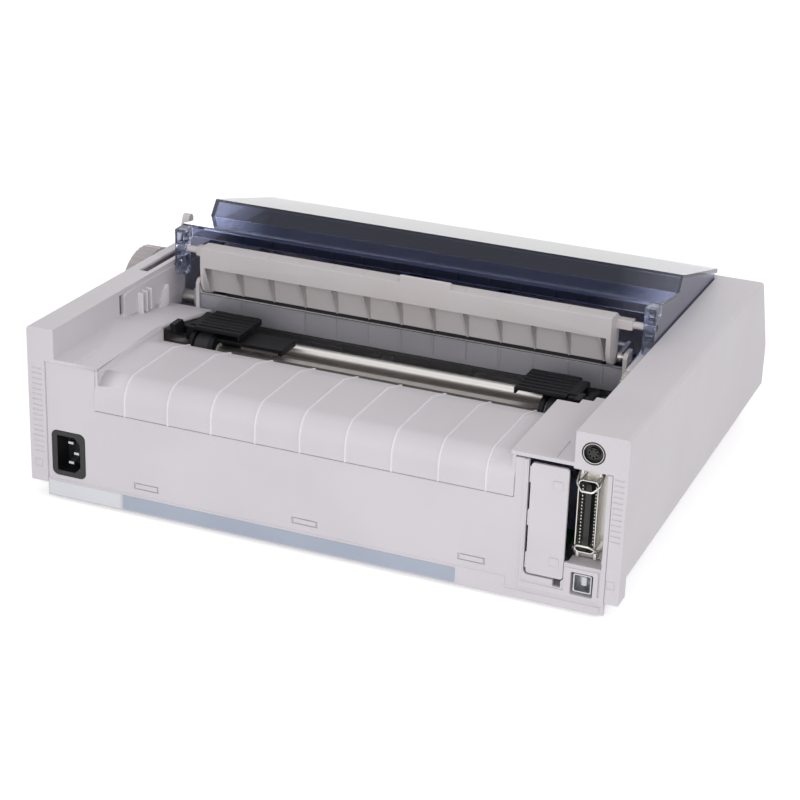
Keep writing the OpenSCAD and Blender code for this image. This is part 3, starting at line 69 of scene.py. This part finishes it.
# The case's own middle and underside. All places below are measured from them, in millimetres.
case_low, case_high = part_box("upper_case")
case_mid_x = (case_low.x + case_high.x) / 2
case_mid_y = (case_low.y + case_high.y) / 2
case_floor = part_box("lower_case")[0].z


def at(x, y, z):
    """Millimetres from the case's middle, rearwards, and above its underside, as a place in metres."""
    return Vector((case_mid_x + x * MM, case_mid_y + y * MM, case_floor + z * MM))


# ---- Materials --------------------------------------------------------------------------------

# The acrylic's is a little under the typical 1.49, as the hood reflects little
ABS_IOR, PC_IOR, ACRYLIC_IOR = 1.53, 1.58, 1.45
# How strongly the spark-eroded grain shows, and how far it takes the roughness up and down
GRAIN_BUMP, GRAIN_DULLER, GRAIN_GLOSSIER = 0.35, 0.07, 0.05
# The same for drawing lines on metal, as shares of its roughness
LINE_BUMP, LINE_FINER, LINE_ROUGHER = 0.3, 0.75, 1.3
# Where on the noise the darker tone ends and the lighter one begins
TONE_DARK, TONE_LIGHT = 0.35, 0.65
# Flow waves in clear mouldings
WAVE_MM, WAVE_DEPTH_MM, WAVE_BUMP = 25, 0.1, 0.1
# How far in from its ends the hood starts to pale, and where it is palest
PALE_FROM_MM, PALE_FULL_MM = 46, 10


def srgb(code):
    """Linear RGBA of an sRGB hex colour."""
    parts = [int(code[i : i + 2], 16) / 255 for i in (1, 3, 5)]
    return [c / 12.92 if c <= 0.04045 else ((c + 0.055) / 1.055) ** 2.4 for c in parts] + [1.0]


def add(tree, kind, links=None, **settings):
    """Adds a shader node. Settings name its attributes or, with spaces as underscores, its inputs."""
    item = tree.nodes.new(kind)
    for name, value in settings.items():
        if hasattr(item, name):
            setattr(item, name, value)
        else:
            item.inputs[name.replace("_", " ")].default_value = value
    for socket, source in (links or {}).items():
        tree.links.new(source, item.inputs[socket])
    return item


def finish_material(name, shader_settings, build=None):
    """A material with one Principled shader; build(tree) returns what is linked into it."""
    mat = bpy.data.materials.new(name)
    mat.use_nodes = True
    tree = mat.node_tree
    tree.nodes.clear()
    links = build(tree) if build else {}
    shader = add(tree, "ShaderNodeBsdfPrincipled", links, **shader_settings)
    add(tree, "ShaderNodeOutputMaterial", {"Surface": shader.outputs["BSDF"]})
    return mat


def grain(tree, size_mm, strength, distance_mm, detail=2.0):
    """Object coordinates and a bump of the given grain size."""
    place = add(tree, "ShaderNodeTexCoord").outputs["Object"]
    speckle = add(tree, "ShaderNodeTexNoise", {"Vector": place}, Scale=1 / (size_mm * MM), Detail=detail)
    bump = add(tree, "ShaderNodeBump", {"Height": speckle.outputs["Fac"]}, Strength=strength,
               Distance=distance_mm * MM)
    return place, speckle, bump.outputs["Normal"]


def toned(tree, place, light, dark, size_mm):
    """Two close tones that drift over a given size."""
    drift = add(tree, "ShaderNodeTexNoise", {"Vector": place}, Scale=1 / (size_mm * MM), Detail=3.0)
    ramp = add(tree, "ShaderNodeValToRGB", {"Fac": drift.outputs["Fac"]})
    for stop, position, tone in zip(ramp.color_ramp.elements, (TONE_DARK, TONE_LIGHT), (dark, light)):
        stop.position = position
        stop.color = srgb(tone)
    return ramp.outputs["Color"]


def moulded(name, light, dark, roughness=0.5, grain_mm=0.7, depth_mm=0.03, drift_mm=70, gloss=0.5):
    """Injection moulding with a spark-eroded texture, drawn coarser than the real 0.1 mm so that it shows."""

    def build(tree):
        place, speckle, normal = grain(tree, grain_mm, GRAIN_BUMP, depth_mm)
        rough = add(tree, "ShaderNodeMapRange", {"Value": speckle.outputs["Fac"]},
                    To_Min=roughness - GRAIN_GLOSSIER, To_Max=roughness + GRAIN_DULLER)
        return {"Base Color": toned(tree, place, light, dark, drift_mm), "Normal": normal,
                "Roughness": rough.outputs["Result"]}

    return finish_material(name, {"IOR": ABS_IOR, "Specular_IOR_Level": gloss}, build)


def metal(name, colour, roughness, grain_mm=(0.3, 0.3, 6.0), depth_mm=0.01):
    """Bare metal with drawing lines; grain_mm gives their size along x, y and z."""

    def build(tree):
        place = add(tree, "ShaderNodeTexCoord").outputs["Object"]
        stretch = add(tree, "ShaderNodeMapping", {"Vector": place}, Scale=[1 / (g * MM) for g in grain_mm])
        lines = add(tree, "ShaderNodeTexNoise", {"Vector": stretch.outputs["Vector"]}, Scale=1.0, Detail=2.0)
        bump = add(tree, "ShaderNodeBump", {"Height": lines.outputs["Fac"]}, Strength=LINE_BUMP,
                   Distance=depth_mm * MM)
        rough = add(tree, "ShaderNodeMapRange", {"Value": lines.outputs["Fac"]},
                    To_Min=roughness * LINE_FINER, To_Max=roughness * LINE_ROUGHER)
        return {"Normal": bump.outputs["Normal"], "Roughness": rough.outputs["Result"]}

    return finish_material(name, {"Base_Color": srgb(colour), "Metallic": 1.0}, build)


# ABS, injection moulded, off-white with a faint lavender cast: a dry, even satin
case_abs = moulded("case_abs", "#d4d0d5", "#d0cbd0")
# Lighter copy of the case ABS, painted on the crests of the hump's ribs as a highlight where the real crests
# catch the light
rib_painted_highlight = moulded("rib_painted_highlight", "#e8e5e9", "#e2dfe4", roughness=0.42)
# The same ABS on the separator, a touch warmer
guide_abs = moulded("guide_abs", "#cdc8c9", "#c8c2c3")
# ABS of the control panel, a shade darker than the case and as dry
panel_abs = moulded("panel_abs", "#b9b8bc", "#b4b3b7")
# Taupe ABS of the platen knob, slightly polished by hands
knob_abs = moulded("knob_abs", "#b5adae", "#aca4a5", roughness=0.42)
# Glass-filled black nylon of the tractors: dark, dull and a little speckled
black_nylon = moulded("black_nylon", "#0c0c11", "#08080c", roughness=0.55, grain_mm=0.5, gloss=0.22)
# Black PBT of sockets and cartridge: dense and a little glossy
black_pbt = moulded("black_pbt", "#17171a", "#101013", roughness=0.34, grain_mm=0.5, depth_mm=0.015)
# Moulded acetal, smooth and waxy: pale grey for the release lever, natural for the gears
lever_acetal = moulded("lever_acetal", "#cfcbc9", "#c8c4c2", roughness=0.4)
gear_acetal = moulded("gear_acetal", "#dcdcd4", "#d3d3ca", roughness=0.38)
# Grey ABS of the push buttons, a little smoother than the panel
key_abs = moulded("key_abs", "#7d7f84", "#75777c", roughness=0.45)
# Ground nitrile rubber of platen and rollers: black and matt, with a bloom
platen_rubber = moulded("platen_rubber", "#1f1f21", "#29292b", roughness=0.75, grain_mm=0.3, drift_mm=25)
# Moulded rubber of the feet: duller and a shade lighter
foot_rubber = moulded("foot_rubber", "#2b2b2c", "#232324", roughness=0.85)
# Zinc-plated sheet steel: cool grey with a faint spangle
zinc_plate = metal("zinc_plate", "#b9bcc0", 0.34, (3.0, 3.0, 3.0))
# Centreless-ground steel rod: bright, with fine turning lines across it
ground_steel = metal("ground_steel", "#cfccc9", 0.42, (0.5, 8.0, 8.0))
# Nickel-plated shell and wire of the connector: bright, with a warm cast
nickel_plate = metal("nickel_plate", "#d2cfca", 0.3, (2.0, 2.0, 2.0), 0.004)
# Tinned spring contacts: pale and half bright
contact_tin = metal("contact_tin", "#c9c7c3", 0.35, (0.5, 0.5, 0.5))
# Turned brass of the pinions
brass = metal("pinion_brass", "#c8a25c", 0.3, (0.5, 0.5, 0.5))
# Painted steel cans of the motors and the print head's body: dark grey, half matt
motor_can = metal("motor_can", "#6a6b6f", 0.42, (1.5, 1.5, 1.5))
# Woven glass-epoxy board under its green mask: deep green and half glossy
board_mask = moulded("board_mask", "#1f5b36", "#1a4f2f", roughness=0.3)
# Paper label stock: white, and the pale blue-grey of the rating strip, both blank
label_white = moulded("label_white", "#dcdde1", "#d6d8de", roughness=0.4, grain_mm=0.4, depth_mm=0.01)
label_blue = moulded("label_blue", "#a9b2c1", "#a2abbb", roughness=0.36, grain_mm=0.4, depth_mm=0.01)
# Taupe ABS of the paper pan, polished by the paper that runs over it
pan_abs = moulded("pan_abs", "#8d837f", "#857b78", roughness=0.4)


def clear(name, tint, roughness, weight, absorbed=None, density=0.0, ior=PC_IOR):
    """Clear moulding with a tint; one with an absorbed colour deepens where the light path is long.

    tint is a colour, or a function that builds the colour from the tree and the object coordinates.
    """
    mat = bpy.data.materials.new(name)
    mat.use_nodes = True
    tree = mat.node_tree
    tree.nodes.clear()
    place = add(tree, "ShaderNodeTexCoord").outputs["Object"]
    flow = add(tree, "ShaderNodeTexNoise", {"Vector": place}, Scale=1 / (WAVE_MM * MM), Detail=2.0)
    bump = add(tree, "ShaderNodeBump", {"Height": flow.outputs["Fac"]}, Strength=WAVE_BUMP,
               Distance=WAVE_DEPTH_MM * MM)
    links = {"Normal": bump.outputs["Normal"]}
    settings = {"Transmission_Weight": weight, "IOR": ior, "Roughness": roughness}
    if callable(tint):
        links["Base Color"] = tint(tree, place)
    else:
        settings["Base_Color"] = srgb(tint)
    shader = add(tree, "ShaderNodeBsdfPrincipled", links, **settings)
    result = {"Surface": shader.outputs["BSDF"]}
    if absorbed:
        body = add(tree, "ShaderNodeVolumeAbsorption", Color=srgb(absorbed), Density=density)
        result["Volume"] = body.outputs["Volume"]
    add(tree, "ShaderNodeOutputMaterial", result)
    return mat


def paler_ends(tree, place):
    """Navy over the hood's ribbed middle, and paler over its thin-walled ends."""
    low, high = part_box("hood")
    middle, half = (low.x + high.x) / 2, (high.x - low.x) / 2
    parts = add(tree, "ShaderNodeSeparateXYZ", {"Vector": place})
    away = add(tree, "ShaderNodeMath", {0: parts.outputs["X"]}, operation="SUBTRACT")
    away.inputs[1].default_value = middle
    away = add(tree, "ShaderNodeMath", {0: away.outputs[0]}, operation="ABSOLUTE")
    share = add(tree, "ShaderNodeMapRange", {"Value": away.outputs[0]}, From_Min=half - PALE_FROM_MM * MM,
                From_Max=half - PALE_FULL_MM * MM)
    ramp = add(tree, "ShaderNodeValToRGB", {"Fac": share.outputs["Result"]})
    ramp.color_ramp.elements[0].color = srgb("#4a5376")
    ramp.color_ramp.elements[1].color = srgb("#bfc4da")
    return ramp.outputs["Color"]


# The hood's smoke-tinted acrylic, polished in the mould: see-through, darker where it is ribbed
smoke_hood = clear("smoke_hood", paler_ends, 0.05, 0.92, ior=ACRYLIC_IOR)
# Thin clear sheet behind the platen, hazed by paper dust
smoke_film = clear("smoke_film", "#f0f2f7", 0.05, 0.97, "#8f9aa8", 12.0)
# Green polycarbonate lenses of the indicators: lit through and a little milky
lens_green = clear("lens_green", "#7fd083", 0.2, 0.6, "#3fae46", 200.0)

# ---- Pieces made from the solids --------------------------------------------------------------

# Points closer than this are one, and faces that turn less than this are one face
MERGE_MM, FLAT_DEG = 0.002, 0.4
# A face with fewer edges than this has no two edges that pass each other closely
BRIDGE_EDGES = 5
# How much of its rounding an edge keeps each time a face beside it folds
EASES = (0.5, 0.4, 0.0, 0.0)


def coat(obj, *mats):
    """Gives a piece these materials and no other."""
    obj.data.materials.clear()
    for mat in mats:
        obj.data.materials.append(mat)


def narrow_bridges(work, widths, share):
    """Rounds less where another edge of the same face runs close by, and beside edges that stay sharp."""
    for face in work.faces:
        if len(face.edges) < BRIDGE_EDGES:
            continue
        spans = [(edge, *(vert.co for vert in edge.verts), (edge.verts[0].co + edge.verts[1].co) / 2,
                  edge.calc_length() / 2) for edge in face.edges]
        for edge, a, b, middle, half in spans:
            if edge not in widths:
                continue
            gap = widths[edge] / share
            for other, c, d, other_middle, other_half in spans:
                if (middle - other_middle).length > half + other_half + gap:
                    continue
                if other is edge or edge.verts[0] in other.verts or edge.verts[1] in other.verts:
                    continue
                for point in (a, middle, b):
                    near, t = intersect_point_line(point, c, d)
                    gap = min(gap, (point - (c if t < 0 else d if t > 1 else near)).length)
            widths[edge] = min(widths[edge], gap * share)
    for vert in work.verts:
        spans = {edge: edge.other_vert(vert).co - vert.co for edge in vert.link_edges}
        for edge in spans.keys() & widths.keys():
            along = spans[edge].normalized()
            for other in spans.keys() - widths.keys():
                widths[edge] = min(widths[edge], share * along.cross(spans[other]).length)


def even_widths(work, widths, straight=-0.5, sharp_turn=0.94):
    """Gives edges that run on from each other the same rounding, and takes it off the thinnest slivers."""
    settled = False
    while not settled:
        settled = True
        for vert in work.verts:
            ends = [(edge, (edge.other_vert(vert).co - vert.co).normalized())
                    for edge in vert.link_edges if widths.get(edge)]
            for i, (a, toward_a) in enumerate(ends):
                for b, toward_b in ends[i + 1:]:
                    turn = toward_a.dot(toward_b)
                    low = 0.0 if turn > sharp_turn else min(widths[a], widths[b])
                    if (turn < straight or turn > sharp_turn) and (widths[a], widths[b]) != (low, low):
                        widths[a] = widths[b] = low
                        settled = False


def folds(obj, solid, least_mm2=0.02):
    """Indices of the solid's faces whose rounded copy folds back over itself."""
    shown = obj.evaluated_get(bpy.context.evaluated_depsgraph_get())
    mesh = shown.to_mesh()
    mesh.calc_loop_triangles()
    found = set()
    for tri in mesh.loop_triangles:
        if tri.area > least_mm2 * MM**2 and tri.normal.dot(mesh.polygons[tri.polygon_index].normal) < 0:
            middle = sum((mesh.vertices[i].co for i in tri.vertices), Vector()) / 3
            found.add(solid.find_nearest(middle)[2])
    shown.to_mesh_clear()
    return found


def soften(node, edge_mm, *mats, angle=35, segments=2, share=0.42):
    """Copies a node's solid, rounds its sharp edges as a mould does, and stands in for the node.

    An edge beside a narrow face is rounded less, by the share of that face's width.
    """
    source = nodes[node]
    mesh = bpy.data.meshes.new(node + "_soft")
    work = bmesh.new()
    work.from_mesh(source.data)
    bmesh.ops.remove_doubles(work, verts=work.verts, dist=MERGE_MM * MM)
    bmesh.ops.dissolve_limit(work, angle_limit=math.radians(FLAT_DEG), verts=work.verts,
                             edges=work.edges)
    weights = work.edges.layers.float.new("bevel_weight_edge")
    widths = {}
    for edge in work.edges:
        if len(edge.link_loops) != 2 or edge.calc_face_angle(0) < math.radians(angle):
            continue
        room = min(side.edge.calc_length() for loop in edge.link_loops
                   for side in (loop.link_loop_next, loop.link_loop_prev))
        widths[edge] = min(1.0, share * min(room, edge.calc_length()) / (edge_mm * MM))
    narrow_bridges(work, widths, share / (edge_mm * MM))
    for face in work.faces:
        face.smooth = True
    obj = bpy.data.objects.new(node + "_moulded", mesh)
    bpy.context.scene.collection.objects.link(obj)
    bevel = obj.modifiers.new("mould_edges", "BEVEL")
    bevel.width = edge_mm * MM
    bevel.segments = segments
    bevel.limit_method = "WEIGHT"
    bevel.use_clamp_overlap = False
    bevel.loop_slide = False
    bevel.harden_normals = True
    solid = BVHTree.FromBMesh(work)
    for ease in EASES:
        even_widths(work, widths)
        for edge, width in widths.items():
            edge[weights] = width
        work.to_mesh(mesh)
        mesh.update()
        folded = folds(obj, solid)
        work.faces.ensure_lookup_table()
        for edge in {edge for index in folded for edge in work.faces[index].edges if edge in widths}:
            widths[edge] *= ease
        if not folded:
            break
    work.free()
    obj.modifiers.new("even_shading", "WEIGHTED_NORMAL").keep_sharp = True
    coat(obj, *mats)
    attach(obj, source["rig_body"])
    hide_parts(node)
    return obj


def repaint(obj, inside):
    """Gives a second material to the faces whose middle passes the test, in case millimetres."""
    for face in obj.data.polygons:
        c = face.center
        if inside((c.x - case_mid_x) / MM, (c.y - case_mid_y) / MM, (c.z - case_floor) / MM):
            face.material_index = 1


def within(middle, reach):
    """A test for places no further than reach from a middle, along each axis."""
    return lambda *place: all(abs(p - m) < r for p, m, r in zip(place, middle, reach))


# Rounding in millimetres, and material, of each moulded or pressed piece
SOFTENED = {
    "upper_case": (0.7, case_abs), "lower_case": (0.4, case_abs), "option_cover": (0.35, case_abs),
    "sheet_guide": (0.5, guide_abs), "hinge_brackets": (0.5, guide_abs), "control_panel": (0.4, panel_abs),
    "platen_knob": (0.5, knob_abs), "release_lever": (0.7, lever_acetal),
    "knob_side_tractor": (0.3, black_nylon), "port_side_tractor": (0.3, black_nylon),
    "knob_side_flap": (0.3, black_nylon), "port_side_flap": (0.3, black_nylon),
    "knob_side_lock": (0.5, black_nylon), "port_side_lock": (0.5, black_nylon),
    "carriage": (0.6, black_nylon), "ribbon_cartridge": (0.8, black_pbt), "print_head": (0.3, motor_can),
    "round_socket": (0.25, black_pbt), "usb_port": (0.2, zinc_plate),
    "button_select": (0.6, key_abs), "button_line_feed": (0.6, key_abs), "button_form_feed": (0.6, key_abs),
    "power_rocker": (0.5, black_pbt), "feet": (0.5, foot_rubber), "hood": (0.3, smoke_hood),
    "feed_motor": (0.5, motor_can), "carriage_motor": (0.5, motor_can), "side_frames": (0.2, zinc_plate),
    "frame_tray": (0.2, zinc_plate), "case_screws": (0.3, zinc_plate), "parallel_shell": (0.25, nickel_plate),
}
softened = {node: soften(node, edge, mat) for node, (edge, mat) in SOFTENED.items()}

# Turned, ground and sheet pieces, whose solids show as they are
PLAIN = {
    "paper_pan": pan_abs, "guide_film": smoke_film, "indicator_lenses": lens_green,
    "parallel_insert": black_pbt, "main_board": board_mask, "power_supply": zinc_plate,
    "carriage_shaft": ground_steel, "tractor_rod": ground_steel, "carriage_belt": platen_rubber,
    "platen": platen_rubber, "platen_shaft": ground_steel, "platen_gear": gear_acetal,
    "feed_idler": gear_acetal, "feed_pinion": brass, "tractor_idler": gear_acetal,
    "tractor_shaft": ground_steel, "knob_side_pulley": gear_acetal, "port_side_pulley": gear_acetal,
    "knob_side_pin_belt": platen_rubber, "port_side_pin_belt": platen_rubber, "drive_pulley": brass,
    "idler_pulley": gear_acetal, "paper_bail": ground_steel, "bail_rollers": platen_rubber,
    "pressure_rollers": platen_rubber,
}
for node, mat in PLAIN.items():
    coat(nodes[node], mat)

# Places of the second colours, in case millimetres: the rib crests' painted highlight, inlet pins, port
# tongue and labels
RIB_X0, RIB_PITCH, RIB_W = -113.7, 30.2875, 1.6
HUMP_HALF, HUMP_FROM_Y, HUMP_LOW_Z, HUMP_HIGH_Z = 135, 84, 64, 91.5
PINS_AT, PINS_REACH = (171.8, 162.5, 31), (6.2, 5.5, 8.2)
TONGUE_AT, TONGUE_REACH = (-175.6, 168.5, 18), (1.8, 10, 3)
LABELS_PART_X = 132.5


def on_painted_crest_highlight(x, y, z):
    """On the crest of one of the hump's ribs, where a lighter colour is painted as a highlight."""
    on_hump = abs(x) < HUMP_HALF and y > HUMP_FROM_Y and HUMP_LOW_Z < z < HUMP_HIGH_Z
    return on_hump and (x - RIB_X0) % RIB_PITCH < RIB_W


# The crests of the hump's ribs get the lighter material, a painted highlight
case = softened["upper_case"]
case.data.materials.append(rib_painted_highlight)
repaint(case, on_painted_crest_highlight)

# The three flat pins of the inlet are plated
inlet = soften("mains_inlet", 0.4, black_pbt, zinc_plate)
repaint(inlet, within(PINS_AT, PINS_REACH))

# The tongue inside the square port is white
usb = softened["usb_port"]
usb.data.materials.append(label_white)
repaint(usb, within(TONGUE_AT, TONGUE_REACH))

# The serial label is white, and the long rating strip is blue-grey
labels = soften("labels", 0.05, label_blue, label_white, segments=1)
repaint(labels, lambda x, y, z: x > LABELS_PART_X)

# ---- Wire bails -------------------------------------------------------------------------------

# Half the wire's thickness, and its bend's radius and steps
WIRE_MM, BEND_MM, BEND_STEPS = 0.7, 1.2, 5
# The loop: its ends in the lugs, half its width, where it narrows, its length and half its tip
WIRE_END, WIRE_HALF, WIRE_KNEE, WIRE_OUT, WIRE_TIP = 4.7, 7.3, 8.6, 13.6, 3.4
# How far both bails lie over towards the plug, in degrees
WIRE_TILT = 44
# A bend takes at most this share of the straight beside it
BEND_SHARE = 0.45


def wire(node, pivot, tilt):
    """Spring-steel wire bent into a hexagon, hinged in the lugs of the shell."""
    side = [(WIRE_END, 0), (WIRE_HALF, 0), (WIRE_HALF, WIRE_KNEE), (WIRE_TIP, WIRE_OUT)]
    points = [(-x, y) for x, y in side] + side[::-1]
    curve = bpy.data.curves.new(node + "_wire", "CURVE")
    curve.dimensions = "3D"
    curve.bevel_depth = WIRE_MM * MM
    curve.bevel_resolution = 4
    curve.use_fill_caps = True
    line = curve.splines.new("POLY")
    bends = round_corners(points, BEND_MM, BEND_STEPS)
    line.points.add(len(bends) - 1)
    turn = Matrix.Rotation(math.radians(tilt), 3, "X")
    for point, (x, y) in zip(line.points, bends):
        point.co = (*(at(*pivot) + turn @ Vector((x, y, 0)) * MM), 1)
    obj = bpy.data.objects.new(node + "_bent", curve)
    bpy.context.scene.collection.objects.link(obj)
    curve.materials.append(nickel_plate)
    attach(obj, nodes[node]["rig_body"])
    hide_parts(node)


def round_corners(points, radius, steps):
    """Replaces each inner corner of a run of points by a short curve."""
    out = [points[0]]
    for a, b, c in zip(points, points[1:], points[2:]):
        a, b, c = Vector(a), Vector(b), Vector(c)
        start = b + (a - b).normalized() * min(radius, (a - b).length * BEND_SHARE)
        end = b + (c - b).normalized() * min(radius, (c - b).length * BEND_SHARE)
        for i in range(steps + 1):
            t = i / steps
            out.append(tuple(start * (1 - t) ** 2 + b * 2 * t * (1 - t) + end * t**2))
    return out + [points[-1]]


# The connector's middle, and its bails' hinges above and below it
PORT_X, PORT_Z, WIRE_HINGE_DZ, WIRE_HINGE_Y = -174.8, 61, 27, 162.3
wire("upper_wire_bail", (PORT_X, WIRE_HINGE_Y, PORT_Z + WIRE_HINGE_DZ), -WIRE_TILT)
wire("lower_wire_bail", (PORT_X, WIRE_HINGE_Y, PORT_Z - WIRE_HINGE_DZ), WIRE_TILT)

# ---- Contacts and the ring of the round socket --------------------------------------------------


def new_piece(name, work, body, *mats, edge_mm=0.0):
    """Turns a bmesh into a piece that rides on a body, with its edges rounded."""
    mesh = bpy.data.meshes.new(name)
    bmesh.ops.recalc_face_normals(work, faces=work.faces)
    work.to_mesh(mesh)
    work.free()
    obj = bpy.data.objects.new(name, mesh)
    bpy.context.scene.collection.objects.link(obj)
    if edge_mm:
        bevel = obj.modifiers.new("edges", "BEVEL")
        bevel.width = edge_mm * MM
        bevel.segments = 2
    coat(obj, *mats)
    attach(obj, body)


def block(work, low, high):
    """Adds a block between two corners, in case millimetres."""
    made = bmesh.ops.create_cube(work, size=1.0)["verts"]
    for vert in made:
        share = vert.co + Vector((0.5, 0.5, 0.5))
        vert.co = at(*(a + (b - a) * t for a, b, t in zip(low, high, share)))


# Pitch, number, rows' distance from the middle, width and half thickness of the contacts
CONTACT_PITCH, CONTACTS, CONTACT_ROW, CONTACT_W, CONTACT_HALF = 2.16, 18, 4.1, 1.1, 0.45
INSERT_FACE_Y, CONTACT_END_Y = 160.8, 166.2
row_z = [PORT_Z + (i - (CONTACTS - 1) / 2) * CONTACT_PITCH for i in range(CONTACTS)]
strips = bmesh.new()
for z in row_z:
    for side in (-1, 1):
        x = PORT_X + side * CONTACT_ROW
        block(strips, (x - CONTACT_HALF, INSERT_FACE_Y, z - CONTACT_W / 2),
              (x + CONTACT_HALF, CONTACT_END_Y, z + CONTACT_W / 2))
new_piece("parallel_contacts", strips, nodes["parallel_insert"]["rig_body"], contact_tin, edge_mm=0.3)

ROUND_X, ROUND_Z, ROUND_FACE_Y = -177.4, 103.6, 172.3
# Radius and height over the face of each corner of the ring's section
RING = [(5.7, -0.6), (5.8, 0.0), (6.0, 0.15), (6.3, 0.1), (6.4, -0.6)]
ring = bmesh.new()
STEPS = 64
hoops = [[ring.verts.new(at(ROUND_X + r * math.cos(a), ROUND_FACE_Y + y, ROUND_Z + r * math.sin(a)))
          for a in (2 * math.pi * i / STEPS for i in range(STEPS))] for r, y in RING]
for inner, outer in zip(hoops, hoops[1:] + hoops[:1]):
    for i in range(STEPS):
        ring.faces.new((inner[i], inner[i - 1], outer[i - 1], outer[i]))
new_piece("round_socket_ring", ring, nodes["round_socket"]["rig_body"], nickel_plate)

# ---- Camera, floor and light ------------------------------------------------------------------

# The lens and the frame in pixels, and the sensor in millimetres
LENS_PX, FRAME_PX, SENSOR = 2148, 800, 36
YAW, PITCH, ROLL = math.radians(21.85), math.radians(23.17), math.radians(-1.93)
# Distance, slide across the view, and the height looked at, in millimetres
CAMERA_AWAY, CAMERA_RIGHT, CAMERA_DOWN, AIM_HEIGHT = 1456, -12.2, 21.3, 60


def place_camera():
    """Looks at the rear from above, turned towards the interface side."""
    back = Vector((-math.sin(YAW) * math.cos(PITCH), math.cos(YAW) * math.cos(PITCH), math.sin(PITCH)))
    right = (-back).cross(Vector((0, 0, 1))).normalized()
    down = (-back).cross(right)
    c, s = math.cos(ROLL), math.sin(ROLL)
    right, down = right * c + down * s, down * c - right * s
    data = bpy.data.cameras.new("camera")
    data.sensor_width = SENSOR
    data.lens = LENS_PX / FRAME_PX * SENSOR
    data.clip_end = 50
    camera = bpy.data.objects.new("camera", data)
    bpy.context.scene.collection.objects.link(camera)
    turn = Matrix((right, -down, back)).transposed().to_4x4()
    spot = at(0, 0, AIM_HEIGHT) + (back * CAMERA_AWAY + right * CAMERA_RIGHT + down * CAMERA_DOWN) * MM
    camera.matrix_world = Matrix.Translation(spot) @ turn
    bpy.context.scene.camera = camera


place_camera()

FLOOR_HALF = 6.0
# Paper fibre, drawn coarser than the real 0.5 mm so that it shows
FIBRE_MM, FIBRE_BUMP, FIBRE_DEPTH_MM = 2.5, 0.05, 0.1
SKY_LIGHT, SKY_SEEN, FLOOR_GLOW = 0.5, 1.0, 0.45


def seen_white(tree):
    """One for the eye, for reflections and for what is seen through glass, and zero for other light."""
    path = add(tree, "ShaderNodeLightPath")
    seen = add(tree, "ShaderNodeMath", {0: path.outputs["Is Camera Ray"], 1: path.outputs["Is Glossy Ray"]},
               operation="MAXIMUM")
    seen = add(tree, "ShaderNodeMath", {0: seen.outputs[0], 1: path.outputs["Is Transmission Ray"]},
               operation="MAXIMUM")
    return seen.outputs[0]


def make_world():
    """A white studio: dim as a light, and full white where it is seen."""
    world = bpy.data.worlds.new("studio")
    world.use_nodes = True
    tree = world.node_tree
    tree.nodes.clear()
    seen = seen_white(tree)
    light = add(tree, "ShaderNodeBackground", Color=srgb("#ffffff"), Strength=SKY_LIGHT)
    white = add(tree, "ShaderNodeBackground", Color=srgb("#ffffff"), Strength=SKY_SEEN)
    mix = add(tree, "ShaderNodeMixShader", {0: seen, 1: light.outputs[0], 2: white.outputs[0]})
    add(tree, "ShaderNodeOutputWorld", {"Surface": mix.outputs[0]})
    bpy.context.scene.world = world


def make_floor():
    """A floor of pale paper that keeps the soft shadow under the machine."""
    mesh = bpy.data.meshes.new("floor")
    corners = [(x * FLOOR_HALF, y * FLOOR_HALF, 0) for x, y in ((-1, -1), (1, -1), (1, 1), (-1, 1))]
    mesh.from_pydata(corners, [], [(0, 1, 2, 3)])
    floor = bpy.data.objects.new("floor", mesh)
    bpy.context.scene.collection.objects.link(floor)
    paper = bpy.data.materials.new("floor_paper")
    paper.use_nodes = True
    tree = paper.node_tree
    tree.nodes.clear()
    place = add(tree, "ShaderNodeTexCoord").outputs["Object"]
    fibre = add(tree, "ShaderNodeTexNoise", {"Vector": place}, Scale=1 / (FIBRE_MM * MM))
    bump = add(tree, "ShaderNodeBump", {"Height": fibre.outputs["Fac"]}, Strength=FIBRE_BUMP,
               Distance=FIBRE_DEPTH_MM * MM)
    matt = add(tree, "ShaderNodeBsdfDiffuse", {"Normal": bump.outputs["Normal"]}, Color=srgb("#f6f6f6"))
    glow = add(tree, "ShaderNodeEmission", Color=srgb("#ffffff"), Strength=FLOOR_GLOW)
    share = add(tree, "ShaderNodeMixShader", {0: seen_white(tree)})
    both = add(tree, "ShaderNodeAddShader", {0: matt.outputs[0], 1: glow.outputs[0]})
    tree.links.new(matt.outputs[0], share.inputs[1])
    tree.links.new(both.outputs[0], share.inputs[2])
    add(tree, "ShaderNodeOutputMaterial", {"Surface": share.outputs[0]})
    mesh.materials.append(paper)


def softbox(name, spot, target, size, power):
    """A soft lamp at a spot, turned to its target; places and size in metres, power in watts."""
    data = bpy.data.lights.new(name, "AREA")
    data.shape = "RECTANGLE"
    data.size, data.size_y = size
    data.energy = power
    lamp = bpy.data.objects.new(name, data)
    bpy.context.scene.collection.objects.link(lamp)
    lamp.location = spot
    lamp.rotation_euler = (Vector(target) - Vector(spot)).to_track_quat("-Z", "Y").to_euler()


make_world()
make_floor()
softbox("rear_softbox", (-0.5, 2.4, 0.9), (0, 0, 0.06), (1.8, 1.2), 24)
softbox("top_softbox", (0.3, -0.2, 2.2), (0, 0, 0.06), (2.0, 1.6), 4.5)
softbox("side_softbox", (-2.0, 0.5, 1.5), (0, 0, 0.06), (1.2, 1.0), 9)
softbox("front_softbox", (0.7, -2.2, 0.15), (0, 0, 0.1), (2.6, 0.7), 14)

bpy.context.scene.view_settings.view_transform = "Standard"
